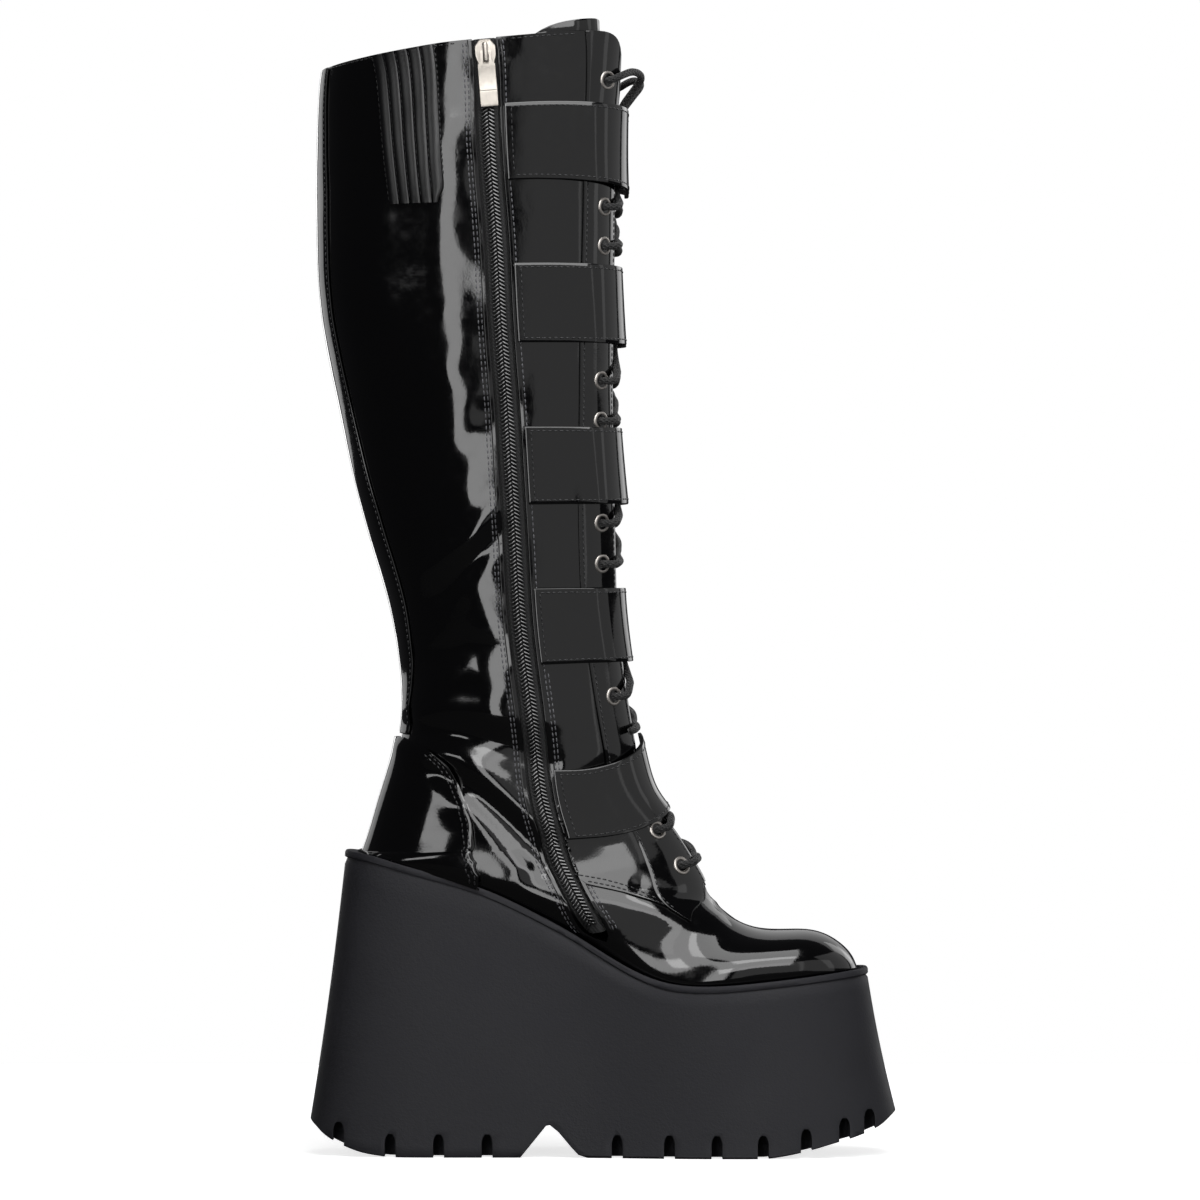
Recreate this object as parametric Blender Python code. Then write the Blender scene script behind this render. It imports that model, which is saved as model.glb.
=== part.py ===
# Knee-high platform boot, left foot: toe along +X, inner side along -Y, up along +Z, in metres.
# The origin is on the floor, under the sole's middle.
# The last is a stack of sections. A station numbers each section, from 0 at the collar to 27 at the toe tip.
# A section runs from its front point over the side to its back point. Past the heel it ends on the feather line.

import math

import bmesh
import bpy
import numpy as np
from mathutils import Matrix, Vector

# Foot and leg
LAST_LENGTH = 0.2357
BALL_WIDTH = 0.092
INSTEP_RISE = 0.052
SHAFT_HEIGHT = 0.3907
CALF_DEPTH = 0.1435
CALF_WIDTH = 0.106
ANKLE_DEPTH = 0.108
ANKLE_WIDTH = 0.075
COLLAR_CROWN = 0.0055

# Sole
HEEL_HEIGHT = 0.1412
BALL_HEIGHT = 0.0792
TOE_LIFT = 0.0071
HEEL_FLARE = 0.0268
TOE_FLARE = 0.0187
SIDE_FLARE = 0.012
HEEL_LEDGE = 0.0098
TOE_LEDGE = 0.0050
SIDE_LEDGE = 0.0050
RIM_HEIGHT = 0.0025
RIM_BAND = 0.0034
RIM_STEP = 0.0008
RIM_GROOVE = 0.0028
HEEL_TUCK = 0.0168
TOE_SPRING = 0.0212
LUG_DEPTH = 0.018
LUG_HEIGHT = 0.011
LUG_GAP = 0.0052
ARCH_HEIGHT = 0.0155
INSOLE_THICKNESS = 0.003
INSOLE_INSET = 0.0054

# Upper and what is sewn on it
WALL = 0.002
GAP = 0.0003
SEAT_GAP = 0.0006
THROAT_WIDTH = 0.066
TONGUE_THICKNESS = 0.0022
TONGUE_SINK = 0.0032
TONGUE_TUCK = 0.0036
TONGUE_UNDERLAP = 0.009
TONGUE_ABOVE_COLLAR = 0.0075
TONGUE_LEAN = 0.0125
OVERLAY = 0.0010
EYESTAY_TOP = 0.0018
COUNTER_THICKNESS = 0.0014
COUNTER_SEAT = 0.0018
COUNTER_STOP = 0.0046
RIB_HEIGHT = 0.0012
RIB_COUNT = 5
STRAP_THICKNESS = 0.0016
STRAP_SEAT = 0.0009

# Zip
ZIP_WIDTH = 0.011
CHAIN_WIDTH = 0.0066
CHAIN_RISE = 0.0009
TAPE_DROP = 0.0004
TAPE_THICKNESS = 0.0012
SLIDER_LENGTH = 0.0125
SLIDER_WIDTH = 0.0096
SLIDER_PLATE = 0.0014
BAIL_WIDTH = 0.0030
BAIL_SPAN = 0.0096
BAIL_HEIGHT = 0.0028
BAIL_THICKNESS = 0.0009
PULL_LENGTH = 0.0265
PULL_WIDTH = 0.0082
PULL_THICKNESS = 0.0012
PULL_BAR = 0.0016
WINDOW_WIDTH = 0.0042
WINDOW_LENGTH = 0.0056

# Eyelets and lace
EYELET_RADIUS = 0.0048
EYELET_HOLE = 0.0027
EYELET_RISE = 0.0009
EYELET_SETBACK = 0.0105
EYELET_SEAT = 0.0052
LACE_DIAMETER = 0.0036
LACE_SIDE_GAP = 0.0016

# Leg sections: height as a share of SHAFT_HEIGHT, front as a share of LAST_LENGTH from the heel,
# calf and girth between ankle (0) and calf (1) sizes, tilt of the back point as a share of SHAFT_HEIGHT
LEG_ROWS = (
    # station, height, front, calf, girth, tilt, widest, squareness
    (0, 1.000, 0.532, 1.054, 0.903, -0.0332, 0.46, 4.4),
    (1, 0.956, 0.5255, 1.054, 0.935, -0.0246, 0.46, 4.4),
    (2, 0.857, 0.513, 1.000, 1.000, -0.0123, 0.46, 4.4),
    (3, 0.759, 0.509, 0.966, 1.000, -0.0061, 0.46, 4.4),
    (4, 0.661, 0.507, 0.878, 0.935, -0.0025, 0.46, 4.4),
    (5, 0.563, 0.507, 0.676, 0.806, 0.0000, 0.46, 4.3),
    (6, 0.477, 0.509, 0.486, 0.645, -0.0025, 0.46, 4.2),
    (7, 0.391, 0.513, 0.257, 0.452, -0.0037, 0.47, 4.0),
    (8, 0.317, 0.516, 0.034, 0.258, -0.0061, 0.48, 3.7),
    (9, 0.249, 0.526, -0.040, 0.097, -0.0123, 0.49, 3.4),
    (10, 0.182, 0.542, 0.045, 0.000, -0.0025, 0.50, 3.1),
)

# Ankle and foot sections: front and back as shares of LAST_LENGTH from the heel, heel as a share of the
# drop from heel to ball, rise as a share of INSTEP_RISE, back_rise above the heel seat likewise
FOOT_ROWS = (
    # station, front, heel, rise, back, back_rise, width, widest, squareness
    (11, 0.559, 1.00, 0.973, 0.065, 0.950, 0.776, 0.52, 2.9),
    (12, 0.579, 0.95, 0.705, 0.041, 0.581, 0.766, 0.54, 2.7),
    (13, 0.611, 0.85, 0.594, 0.017, 0.212, 0.766, 0.56, 2.6),
    (14, 0.648, 0.70, 0.542, 0.000, 0.000, 0.776, 0.58, 2.5),
    (15, 0.673, 0.55, 0.537, 0.039, 0.000, 0.787, 0.60, 2.45),
    (16, 0.694, 0.42, 0.515, 0.130, 0.000, 0.809, 0.64, 2.4),
    (17, 0.710, 0.30, 0.473, 0.253, 0.000, 0.840, 0.68, 2.4),
    (18, 0.725, 0.20, 0.483, 0.395, 0.000, 0.883, 0.72, 2.4),
    (19, 0.7515, 0.10, 0.510, 0.538, 0.000, 0.947, 0.75, 2.4),
    (20, 0.786, 0.00, 0.563, 0.660, 0.000, 0.989, 0.77, 2.4),
    (21, 0.823, 0.00, 0.537, 0.758, 0.000, 1.000, 0.78, 2.4),
    (22, 0.864, 0.00, 0.537, 0.833, 0.000, 0.968, 0.79, 2.4),
    (23, 0.904, 0.00, 0.531, 0.894, 0.000, 0.883, 0.80, 2.4),
    (24, 0.941, 0.00, 0.481, 0.941, 0.000, 0.734, 0.80, 2.4),
    (25, 0.9715, 0.00, 0.389, 0.973, 0.000, 0.543, 0.80, 2.4),
    (26, 0.990, 0.00, 0.292, 0.991, 0.000, 0.330, 0.80, 2.4),
    (27, 1.000, 0.00, 0.190, 1.000, 0.000, 0.000, 0.80, 2.4),
)
BACK_SQUARENESS = 2.05
FEATHER_BULGE = 1.05
STATION_HEEL = 14
STATION_TOE = 27
STATION_BULGE_FROM = 17
STATION_BULGE_TO = 20

# Top of the sole along the last: heel is a share of the drop from heel to ball, toe a share of TOE_LIFT
SEAT_ROWS = (
    # along, heel, toe
    (-0.060, 1.035, 0.00),
    (0.000, 1.000, 0.00),
    (0.063, 0.931, 0.00),
    (0.247, 0.724, 0.00),
    (0.350, 0.541, 0.00),
    (0.430, 0.376, 0.00),
    (0.509, 0.190, 0.00),
    (0.558, 0.092, 0.00),
    (0.606, 0.027, 0.00),
    (0.652, 0.000, 0.00),
    (0.749, 0.000, 0.05),
    (0.829, 0.000, 0.30),
    (0.910, 0.000, 0.61),
    (1.000, 0.000, 1.00),
    (1.060, 0.000, 1.25),
)

# Feather outline: half widths as shares of BALL_WIDTH, before the ends are rounded off
OUTLINE_ROWS = (
    # along, inner, outer
    (0.00, 0.350, 0.350),
    (0.15, 0.345, 0.350),
    (0.30, 0.325, 0.375),
    (0.45, 0.340, 0.420),
    (0.60, 0.415, 0.470),
    (0.72, 0.465, 0.505),
    (0.82, 0.475, 0.500),
    (0.92, 0.475, 0.465),
    (1.00, 0.475, 0.430),
)
HEEL_ROUNDNESS = 3.6
TOE_ROUNDNESS = 3.1

# Tread line: tuck is a share of HEEL_TUCK, spring a share of TOE_SPRING, along the sole's own length
TREAD_ROWS = (
    # along, tuck, spring
    (0.000, 1.00, 0.00),
    (0.020, 0.60, 0.00),
    (0.052, 0.31, 0.00),
    (0.084, 0.12, 0.00),
    (0.123, 0.02, 0.00),
    (0.150, 0.00, 0.00),
    (0.784, 0.00, 0.00),
    (0.827, 0.00, 0.09),
    (0.862, 0.00, 0.20),
    (0.896, 0.00, 0.33),
    (0.930, 0.00, 0.45),
    (0.960, 0.00, 0.60),
    (0.981, 0.00, 0.74),
    (1.000, 0.00, 1.00),
)

# Lug gaps, and the corners of the notch between heel and forefoot, along the sole's own length
LUG_PLACES = (0.052, 0.140, 0.222, 0.304, 0.524, 0.612, 0.692, 0.770, 0.843, 0.908, 0.951)
NOTCH_ROWS = (
    # along, height as a share of ARCH_HEIGHT
    (0.350, -0.40),
    (0.360, 0.00),
    (0.404, 0.98),
    (0.410, 1.00),
    (0.425, 0.78),
    (0.446, 0.33),
    (0.458, 0.10),
    (0.474, 0.00),
    (0.482, -0.40),
)

# Throat: half width as a share of THROAT_WIDTH / 2
THROAT_ROWS = (
    (0.0, 1.03),
    (1.0, 1.04),
    (2.0, 1.00),
    (4.0, 0.98),
    (5.4, 0.95),
    (7.4, 0.82),
    (9.8, 0.60),
    (11.5, 0.50),
    (13.6, 0.41),
    (15.5, 0.38),
    (17.4, 0.34),
    (27.0, 0.30),
)
STATION_THROAT_ROUND = 16.5
STATION_THROAT_END = 17.4
TONGUE_TOP_REACH = 0.31
TONGUE_WIDENS = 2.5
CORNER_STATIONS = 1.1
CORNER_REACH = 0.016

# Places along a section, as the share from its front point to its back point
ZIP_ROWS = (
    (0.0, 0.468),
    (1.6, 0.433),
    (2.9, 0.401),
    (4.4, 0.390),
    (5.9, 0.397),
    (7.2, 0.421),
    (8.4, 0.444),
    (10.0, 0.438),
    (11.3, 0.424),
    (12.4, 0.409),
    (13.6, 0.404),
    (14.6, 0.425),
    (15.8, 0.490),
    (16.8, 0.590),
    (17.7, 0.735),
    (18.3, 0.850),
    (19.6, 0.830),
    (22.0, 0.700),
    (27.0, 0.600),
)
STATION_ZIP_END = 18.35
STATION_ZIP_TAPER = 17.9
EYESTAY_ROWS = (
    (0.0, 0.138),
    (1.4, 0.118),
    (2.5, 0.111),
    (3.8, 0.118),
    (5.3, 0.132),
    (7.3, 0.162),
    (9.8, 0.156),
    (11.5, 0.146),
    (13.2, 0.143),
    (14.6, 0.160),
    (15.8, 0.195),
    (16.8, 0.241),
    (17.6, 0.262),
    (18.35, 0.262),
)
EYESTAY_FRONT_ROWS = (
    (16.2, 0.026),
    (16.9, 0.048),
    (17.4, 0.090),
    (17.9, 0.180),
    (18.35, 0.262),
)
COUNTER_ROWS = (
    (10.60, 0.955),
    (10.90, 0.850),
    (11.33, 0.775),
    (11.80, 0.720),
    (12.26, 0.682),
    (12.83, 0.661),
    (13.74, 0.655),
    (15.00, 0.702),
    (15.90, 0.800),
    (16.30, 0.868),
    (16.80, 1.000),
)
STATION_COUNTER_SIDE = 15.3
BACKSTAY_ROWS = (
    (0.0, 0.975),
    (1.5, 0.971),
    (3.0, 0.962),
    (5.0, 0.958),
    (6.4, 0.938),
    (8.3, 0.936),
    (9.7, 0.960),
    (10.5, 0.966),
)
GUSSET_FRONT_ROWS = ((0.06, 0.632), (2.53, 0.567))
GUSSET_BACK_ROWS = ((0.06, 0.832), (2.53, 0.752))

EYELET_STATIONS = (1.03, 2.62, 3.12, 4.78, 5.32, 6.76, 7.38, 9.72, 13.61, 15.40)

# Straps: stations of the top and bottom edges beside the zip and at the front, then the lift of each edge's
# inside at the front and at the corners beside it
STRAP_ROWS = (
    # side_top, side_bottom, front_top, front_bottom, top_lift, bottom_lift, top_corner, bottom_corner
    (1.34, 2.26, 1.50, 2.46, 0.0006, 0.0038, 0.0033, 0.0052),
    (3.33, 4.31, 3.41, 4.32, -0.0008, 0.0032, 0.0032, 0.0050),
    (5.40, 6.49, 5.42, 6.48, -0.0006, 0.0034, 0.0032, 0.0050),
    (7.77, 9.09, 7.80, 9.12, 0.0008, 0.0014, 0.0030, 0.0040),
    (11.40, 13.70, 10.52, 12.80, 0.0006, 0.0014, 0.0030, 0.0040),
)

# Lace: each crossing runs up from the lower station to the upper one, on both sides
LACE_ROWS = (
    # lower, upper
    (2.62, 1.80),
    (3.12, 2.70),
    (4.78, 3.24),
    (5.32, 4.86),
    (6.76, 5.44),
    (7.38, 6.84),
    (9.72, 7.50),
    (10.46, 9.86),
    (13.61, 11.20),
    (15.40, 13.75),
)

# A lace end leaves the top eyelet, loops forward and hangs down behind the top strap
LACE_END_ROWS = (
    # station, half width as a share of THROAT_WIDTH / 2, lift in lace diameters
    (1.02, 1.19, 1.42),
    (0.98, 1.11, 1.55),
    (0.95, 1.02, 1.80),
    (0.95, 0.91, 2.15),
    (0.99, 0.80, 2.45),
    (1.07, 0.73, 2.30),
    (1.16, 0.69, 1.75),
    (1.26, 0.66, 1.10),
    (1.36, 0.64, 0.45),
    (1.46, 0.62, 0.02),
    (1.56, 0.60, -0.12),
    (1.66, 0.58, -0.12),
)

HEEL_X = HEEL_FLARE - (LAST_LENGTH + HEEL_FLARE + TOE_FLARE) / 2
INNER, OUTER = -1, 1
MATERIALS = {
    # base colour, roughness, metallic
    "patent": ((0.012, 0.012, 0.014), 0.08, 0.0),
    "rubber": ((0.028, 0.028, 0.031), 0.65, 0.0),
    "lining": ((0.030, 0.029, 0.028), 0.85, 0.0),
    "nickel": ((0.72, 0.69, 0.66), 0.22, 1.0),
    "cord": ((0.015, 0.015, 0.016), 0.80, 0.0),
    "zip_tape": ((0.014, 0.014, 0.015), 0.60, 0.0),
}


def spline(rows, column=1):
    """A natural cubic spline through one column of a table, over its first column."""
    xs = np.array([row[0] for row in rows], float)
    ys = np.array([row[column] for row in rows], float)
    last = len(xs) - 1
    h = np.diff(xs)
    a = np.eye(last + 1)
    r = np.zeros(last + 1)
    for i in range(1, last):
        a[i, i - 1 : i + 2] = h[i - 1], 2 * (h[i - 1] + h[i]), h[i]
        r[i] = 6 * ((ys[i + 1] - ys[i]) / h[i] - (ys[i] - ys[i - 1]) / h[i - 1])
    m = np.linalg.solve(a, r)

    def at(t):
        t = np.asarray(t, float)
        k = np.clip(np.searchsorted(xs, t, side="right") - 1, 0, last - 1)
        d = t - xs[k]
        slope = (ys[k + 1] - ys[k]) / h[k] - h[k] * (2 * m[k] + m[k + 1]) / 6
        return ys[k] + d * (slope + d * (m[k] / 2 + d * (m[k + 1] - m[k]) / (6 * h[k])))

    return at


def line(rows, column=1):
    """Straight runs through one column of a table, over its first column."""
    xs = [row[0] for row in rows]
    ys = [row[column] for row in rows]
    return lambda t: np.interp(t, xs, ys)


def smooth(t):
    """0 to 1 with level ends."""
    t = np.clip(t, 0, 1)
    return t * t * (3 - 2 * t)


# The seat, which is the top of the sole, and the outlines that follow the feather line
seat_heel, seat_toe = spline(SEAT_ROWS, 1), spline(SEAT_ROWS, 2)
outline = {INNER: spline(OUTLINE_ROWS, 1), OUTER: spline(OUTLINE_ROWS, 2)}


def seat_z(x):
    """Height of the seat at x."""
    s = (x - HEEL_X) / LAST_LENGTH
    return BALL_HEIGHT + seat_heel(s) * (HEEL_HEIGHT - BALL_HEIGHT) + seat_toe(s) * TOE_LIFT


def half_width(s, side, grow=0.0):
    """Half width of the feather outline at share s of its length, grown sideways by grow."""
    s = np.clip(s, 0, 1)
    roundness = np.where(s < 0.5, HEEL_ROUNDNESS, TOE_ROUNDNESS)
    closing = np.clip(1 - np.abs(2 * s - 1) ** roundness, 0, 1) ** (1 / roundness)
    return (outline[side](s) * BALL_WIDTH + grow) * closing


def section_tables():
    """Splines over the station for the front point, back point, half width and shape of the sections."""
    ankle, calf = (ANKLE_DEPTH, ANKLE_WIDTH), (CALF_DEPTH, CALF_WIDTH)
    drop = HEEL_HEIGHT - BALL_HEIGHT
    seat_at_heel = float(seat_z(HEEL_X)) + SEAT_GAP
    front, back, shape = [], [], []
    for station, height, ahead, deep, girth, tilt, widest, squareness in LEG_ROWS:
        x = HEEL_X + ahead * LAST_LENGTH
        z = HEEL_HEIGHT + height * SHAFT_HEIGHT
        depth = ankle[0] + deep * (calf[0] - ankle[0])
        width = ankle[1] + girth * (calf[1] - ankle[1])
        front.append((station, x, z))
        back.append((station, x - depth, z + tilt * SHAFT_HEIGHT))
        shape.append((station, width / 2, widest, squareness))
    for station, ahead, lift, rise, behind, back_rise, width, widest, squareness in FOOT_ROWS:
        z = BALL_HEIGHT + lift * drop + rise * INSTEP_RISE
        front.append((station, HEEL_X + ahead * LAST_LENGTH, z))
        back.append((station, HEEL_X + behind * LAST_LENGTH, seat_at_heel + back_rise * INSTEP_RISE))
        shape.append((station, width * BALL_WIDTH / 2, widest, squareness))
    above = [row for row in back if row[0] <= STATION_HEEL]
    below = [row for row in back if row[0] >= STATION_HEEL]
    return {
        "front_x": spline(front, 1),
        "front_z": spline(front, 2),
        "heel_x": spline(above, 1),
        "heel_z": spline(above, 2),
        "seat_x": spline(below, 1),
        "width": spline(shape, 1),
        "widest": spline(shape, 2),
        "squareness": spline(shape, 3),
    }


last = section_tables()


def section(u, side):
    """The section at station u: front and back points, half width, shape, and where its turn ends."""
    u = np.asarray(u, float)
    is_open = u > STATION_HEEL
    x = np.where(
        is_open, last["seat_x"](np.maximum(u, STATION_HEEL)), last["heel_x"](np.minimum(u, STATION_HEEL))
    )
    z = np.where(is_open, seat_z(x) + SEAT_GAP, last["heel_z"](np.minimum(u, STATION_HEEL)))
    feather = np.where(is_open, half_width((x - HEEL_X) / LAST_LENGTH, side), 0.0)
    follow = smooth((u - STATION_BULGE_FROM) / (STATION_BULGE_TO - STATION_BULGE_FROM))
    width = last["width"](u) * (1 - follow) + feather * FEATHER_BULGE * follow
    width = np.maximum(width, feather * FEATHER_BULGE)
    reach = np.where(width > 1e-9, feather / np.maximum(width, 1e-9), 1 / FEATHER_BULGE)
    end_cos = -((1 - np.clip(reach, 0, 1) ** BACK_SQUARENESS) ** (1 / BACK_SQUARENESS))
    return {
        "front": (last["front_x"](u), last["front_z"](u)),
        "back": (x, z),
        "width": width,
        "widest": last["widest"](u),
        "squareness": last["squareness"](u),
        "end_cos": end_cos,
        "end_turn": np.arctan2(reach, end_cos),
    }


def turned(sec, turn):
    """The share along and across a section at an angle of turn, 0 at the front point."""
    c, s = np.cos(turn), np.sin(turn)
    p = BACK_SQUARENESS + (sec["squareness"] - BACK_SQUARENESS) * smooth(c + 0.5)
    r = (np.abs(c) ** p + np.abs(s) ** p + 1e-12) ** (-1 / p)
    c, s = c * r, s * r
    behind = (1 - sec["widest"]) / np.maximum(-sec["end_cos"], 1e-6)
    along = np.where(c >= 0, sec["widest"] * (1 - c), sec["widest"] - behind * c)
    return along, s


def surface(u, turn, side):
    """Points of the last's outside at stations u and angles of turn."""
    u, turn = np.broadcast_arrays(np.asarray(u, float), np.asarray(turn, float))
    sec = section(u, side)
    along, across = turned(sec, np.abs(turn))
    fx, fz = sec["front"]
    bx, bz = sec["back"]
    crown = COLLAR_CROWN * across**2 * smooth(1 - u / 1.5)
    flip = np.where(turn < 0, -side, side)
    return np.stack(
        [fx + along * (bx - fx), flip * across * sec["width"], fz + along * (bz - fz) + crown], -1
    )


def raised(u, turn, side, lift):
    """The surface moved out by lift along its normal. A negative lift moves it inwards."""
    u, turn = np.broadcast_arrays(np.asarray(u, float), np.asarray(turn, float))
    step = 1e-3
    du = surface(u + step, turn, side) - surface(u - step, turn, side)
    inside = np.where(u > STATION_HEEL, np.minimum(turn, section(u, side)["end_turn"] - step), turn)
    dt = surface(u, inside + step, side) - surface(u, inside - step, side)
    normal = np.cross(dt, du) * -side
    size = np.linalg.norm(normal, axis=-1, keepdims=True)
    normal = normal / np.maximum(size, 1e-12)
    centre = (np.abs(turn) < step) | ((u <= STATION_HEEL) & (turn > math.pi - step))
    normal[..., 1] = np.where(centre, 0.0, normal[..., 1])
    return surface(u, turn, side) + normal * np.asarray(lift, float)[..., None]


def turn_where(u, side, wanted, measure):
    """The angle of turn at which measure (0 along, 1 across) reaches wanted, for each station."""
    u, wanted = np.broadcast_arrays(np.asarray(u, float), np.asarray(wanted, float))
    sec = section(u, side)
    low = np.zeros(u.shape)
    high = np.where(measure == 1, math.pi / 2, sec["end_turn"]) * np.ones(u.shape)
    for _ in range(40):
        mid = (low + high) / 2
        short = turned(sec, mid)[measure] < wanted
        low = np.where(short, mid, low)
        high = np.where(short, high, mid)
    return (low + high) / 2


def turn_above_seat(u, side, height):
    """The angle of turn, behind the section's middle, at which it comes down to a height above the seat."""
    high = section(u, side)["end_turn"] + 0 * u
    low = 0 * u + math.pi / 2
    end = surface(u, high, side)
    reaches = end[..., 2] - seat_z(end[..., 0]) >= height
    for _ in range(30):
        mid = (low + high) / 2
        point = surface(u, mid, side)
        above = point[..., 2] - seat_z(point[..., 0]) > height
        low = np.where(above, mid, low)
        high = np.where(above, high, mid)
    return np.where(reaches, section(u, side)["end_turn"], low)


def turn_at_share(u, side, share):
    """The angle of turn at a share of the way from the front point to the back point."""
    full = section(u, side)["end_turn"]
    return np.where(np.asarray(share) >= 0.9999, full, turn_where(u, side, share, 0))


def turn_at_width(u, side, width):
    """The angle of turn at which the section's front half is width wide."""
    return turn_where(u, side, np.minimum(width / np.maximum(section(u, side)["width"], 1e-6), 0.99), 1)


def along_by(u, turn, side, distance):
    """The turn after a distance along the section from a turn."""
    step = 2e-3
    for _ in range(4):
        speed = np.linalg.norm(surface(u, turn + step, side) - surface(u, turn - step, side), axis=-1)
        turn = turn + distance / 4 * 2 * step / speed
    return turn


throat_share = spline(THROAT_ROWS)
zip_share = spline(ZIP_ROWS)


def throat_half(u):
    """Half width of the throat at station u, which closes in a round end."""
    t = (u - STATION_THROAT_ROUND) / (STATION_THROAT_END - STATION_THROAT_ROUND)
    closing = np.sqrt(np.clip(1 - np.clip(t, 0, 1) ** 2, 0, 1))
    return throat_share(u) * THROAT_WIDTH / 2 * closing


def throat_turn(u, side):
    """The angle of turn at the throat's edge, and 0 below the throat."""
    return np.where(u < STATION_THROAT_END, turn_at_width(u, side, throat_half(u)), 0.0)


def zip_half(u):
    """Half width of the slot that holds the zip, which tapers to nothing at its foot."""
    t = (u - STATION_ZIP_TAPER) / (STATION_ZIP_END - STATION_ZIP_TAPER)
    return (ZIP_WIDTH / 2 + GAP) * np.sqrt(np.clip(1 - np.clip(t, 0, 1) ** 2, 0, 1))


def zip_turns(u):
    """The angles of turn at the slot's front edge, middle and back edge."""
    middle = turn_at_share(u, INNER, zip_share(u))
    half = zip_half(u)
    return along_by(u, middle, INNER, -half), middle, along_by(u, middle, INNER, half)


def corner(turn, edge, u, side):
    """How many stations the collar drops at this turn, to round the throat's top corner."""
    reach = along_by(u, edge, side, CORNER_REACH) - edge
    t = np.clip((turn - edge) / reach, 0, 1)
    return CORNER_STATIONS * (1 - np.sqrt(np.clip(1 - (1 - t) ** 2, 0, 1)))


# Meshes
def add_object(name, bm, material, smooth_angle=40):
    """Makes a named object of a bmesh, with its own material."""
    bmesh.ops.recalc_face_normals(bm, faces=bm.faces)
    mesh = bpy.data.meshes.new(name)
    bm.to_mesh(mesh)
    bm.free()
    mesh.shade_smooth()
    mesh.set_sharp_from_angle(angle=math.radians(smooth_angle))
    obj = bpy.data.objects.new(name, mesh)
    bpy.context.scene.collection.objects.link(obj)
    colour, roughness, metallic = MATERIALS[material]
    made = bpy.data.materials.new(name + "_" + material)
    made.use_nodes = True
    shader = made.node_tree.nodes["Principled BSDF"]
    shader.inputs["Base Color"].default_value = (*colour, 1)
    shader.inputs["Roughness"].default_value = roughness
    shader.inputs["Metallic"].default_value = metallic
    mesh.materials.append(made)
    return obj


def shell(panels):
    """A closed wall between outer and inner sheets. Each panel is a pair of point grids, and panels weld."""
    bm = bmesh.new()
    found, pairs, faces = {}, [], []

    def vertex(outer, inner):
        key = tuple(np.round(outer, 6))
        if key not in found:
            found[key] = len(pairs)
            pairs.append((bm.verts.new(outer), bm.verts.new(inner)))
        return found[key]

    for outer, inner, flipped in panels:
        rows, columns = outer.shape[:2]
        index = [[vertex(outer[i, j], inner[i, j]) for j in range(columns)] for i in range(rows)]
        for i in range(rows - 1):
            for j in range(columns - 1):
                ring = [index[i][j], index[i + 1][j], index[i + 1][j + 1], index[i][j + 1]]
                ring = [v for k, v in enumerate(ring) if v != ring[k - 1]]
                if len(set(ring)) >= 3:
                    faces.append(ring[::-1] if flipped else ring)
    edges = {}
    for ring in faces:
        bm.faces.new([pairs[v][0] for v in ring])
        bm.faces.new([pairs[v][1] for v in reversed(ring)])
        for a, b in zip(ring, ring[1:] + ring[:1]):
            edges[(a, b)] = edges.get((a, b), 0) + 1
    for a, b in edges:
        if (b, a) not in edges:
            bm.faces.new([pairs[b][0], pairs[a][0], pairs[a][1], pairs[b][1]])
    return bm


def upper_stations(first, last_one, extra=()):
    """The upper's own stations between two ends, so that what lies on it follows its facets."""
    inside = [s for s in UPPER_STATIONS if first + 0.12 < s < last_one - 0.12]
    return np.array(sorted({first, *inside, *extra, last_one}), float)


def sagitta(u, turn, side):
    """How far the chords between neighbouring points of a row dip under the curved surface."""
    mid = surface((u[:, 1:] + u[:, :-1]) / 2, (turn[:, 1:] + turn[:, :-1]) / 2, side)
    ends = surface(u, turn, side)
    dip = np.linalg.norm(mid - (ends[:, 1:] + ends[:, :-1]) / 2, axis=-1)
    return np.maximum(np.pad(dip, ((0, 0), (1, 0))), np.pad(dip, ((0, 0), (0, 1))))


def patch(stations, low, high, columns, side, thickness, seat=GAP):
    """A panel of a thickness that lies on the upper, over stations, between the turns low(u) and high(u)."""
    u = np.asarray(stations, float)[:, None]
    share = np.linspace(0, 1, columns + 1)[None, :]
    turn = low(u) + (high(u) - low(u)) * share
    return lying(u + 0 * share, turn, side, thickness, seat)


def lying(u, turn, side, thickness, seat=GAP):
    """Outer and inner grids of something that lies on the upper."""
    seat = seat + sagitta(u, turn, side)
    return raised(u, turn, side, seat + thickness), raised(u, turn, side, seat), side == OUTER


def lofted(bottom, rings, top):
    """A closed solid from rings of points, with its ends closed by strips from side to side."""
    bm = bmesh.new()
    made = [[bm.verts.new(p) for p in ring] for ring in rings]
    count = len(rings[0])
    for lower, upper in zip(made, made[1:]):
        for k in range(count):
            bm.faces.new([lower[k], lower[(k + 1) % count], upper[(k + 1) % count], upper[k]])
    for ring, closed in ((made[0], bottom), (made[-1], top)):
        if closed:
            half = count // 2
            bm.faces.new([ring[0], ring[1], ring[-1]])
            for k in range(1, half - 1):
                bm.faces.new([ring[k], ring[k + 1], ring[-k - 1], ring[-k]])
            bm.faces.new([ring[half - 1], ring[half], ring[half + 1]])
    return bm


def bmesh_box(size, centre):
    """A box of a size about a centre."""
    bm = bmesh.new()
    bmesh.ops.create_cube(bm, size=1.0, matrix=Matrix.Translation(centre) @ Matrix.Diagonal((*size, 1)))
    return bm


def cutter(name, bm):
    """A hidden object that a Boolean cuts with."""
    bmesh.ops.recalc_face_normals(bm, faces=bm.faces)
    mesh = bpy.data.meshes.new(name)
    bm.to_mesh(mesh)
    bm.free()
    obj = bpy.data.objects.new(name, mesh)
    bpy.context.scene.collection.objects.link(obj)
    obj.hide_render = True
    obj.display_type = "WIRE"
    return obj


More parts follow.
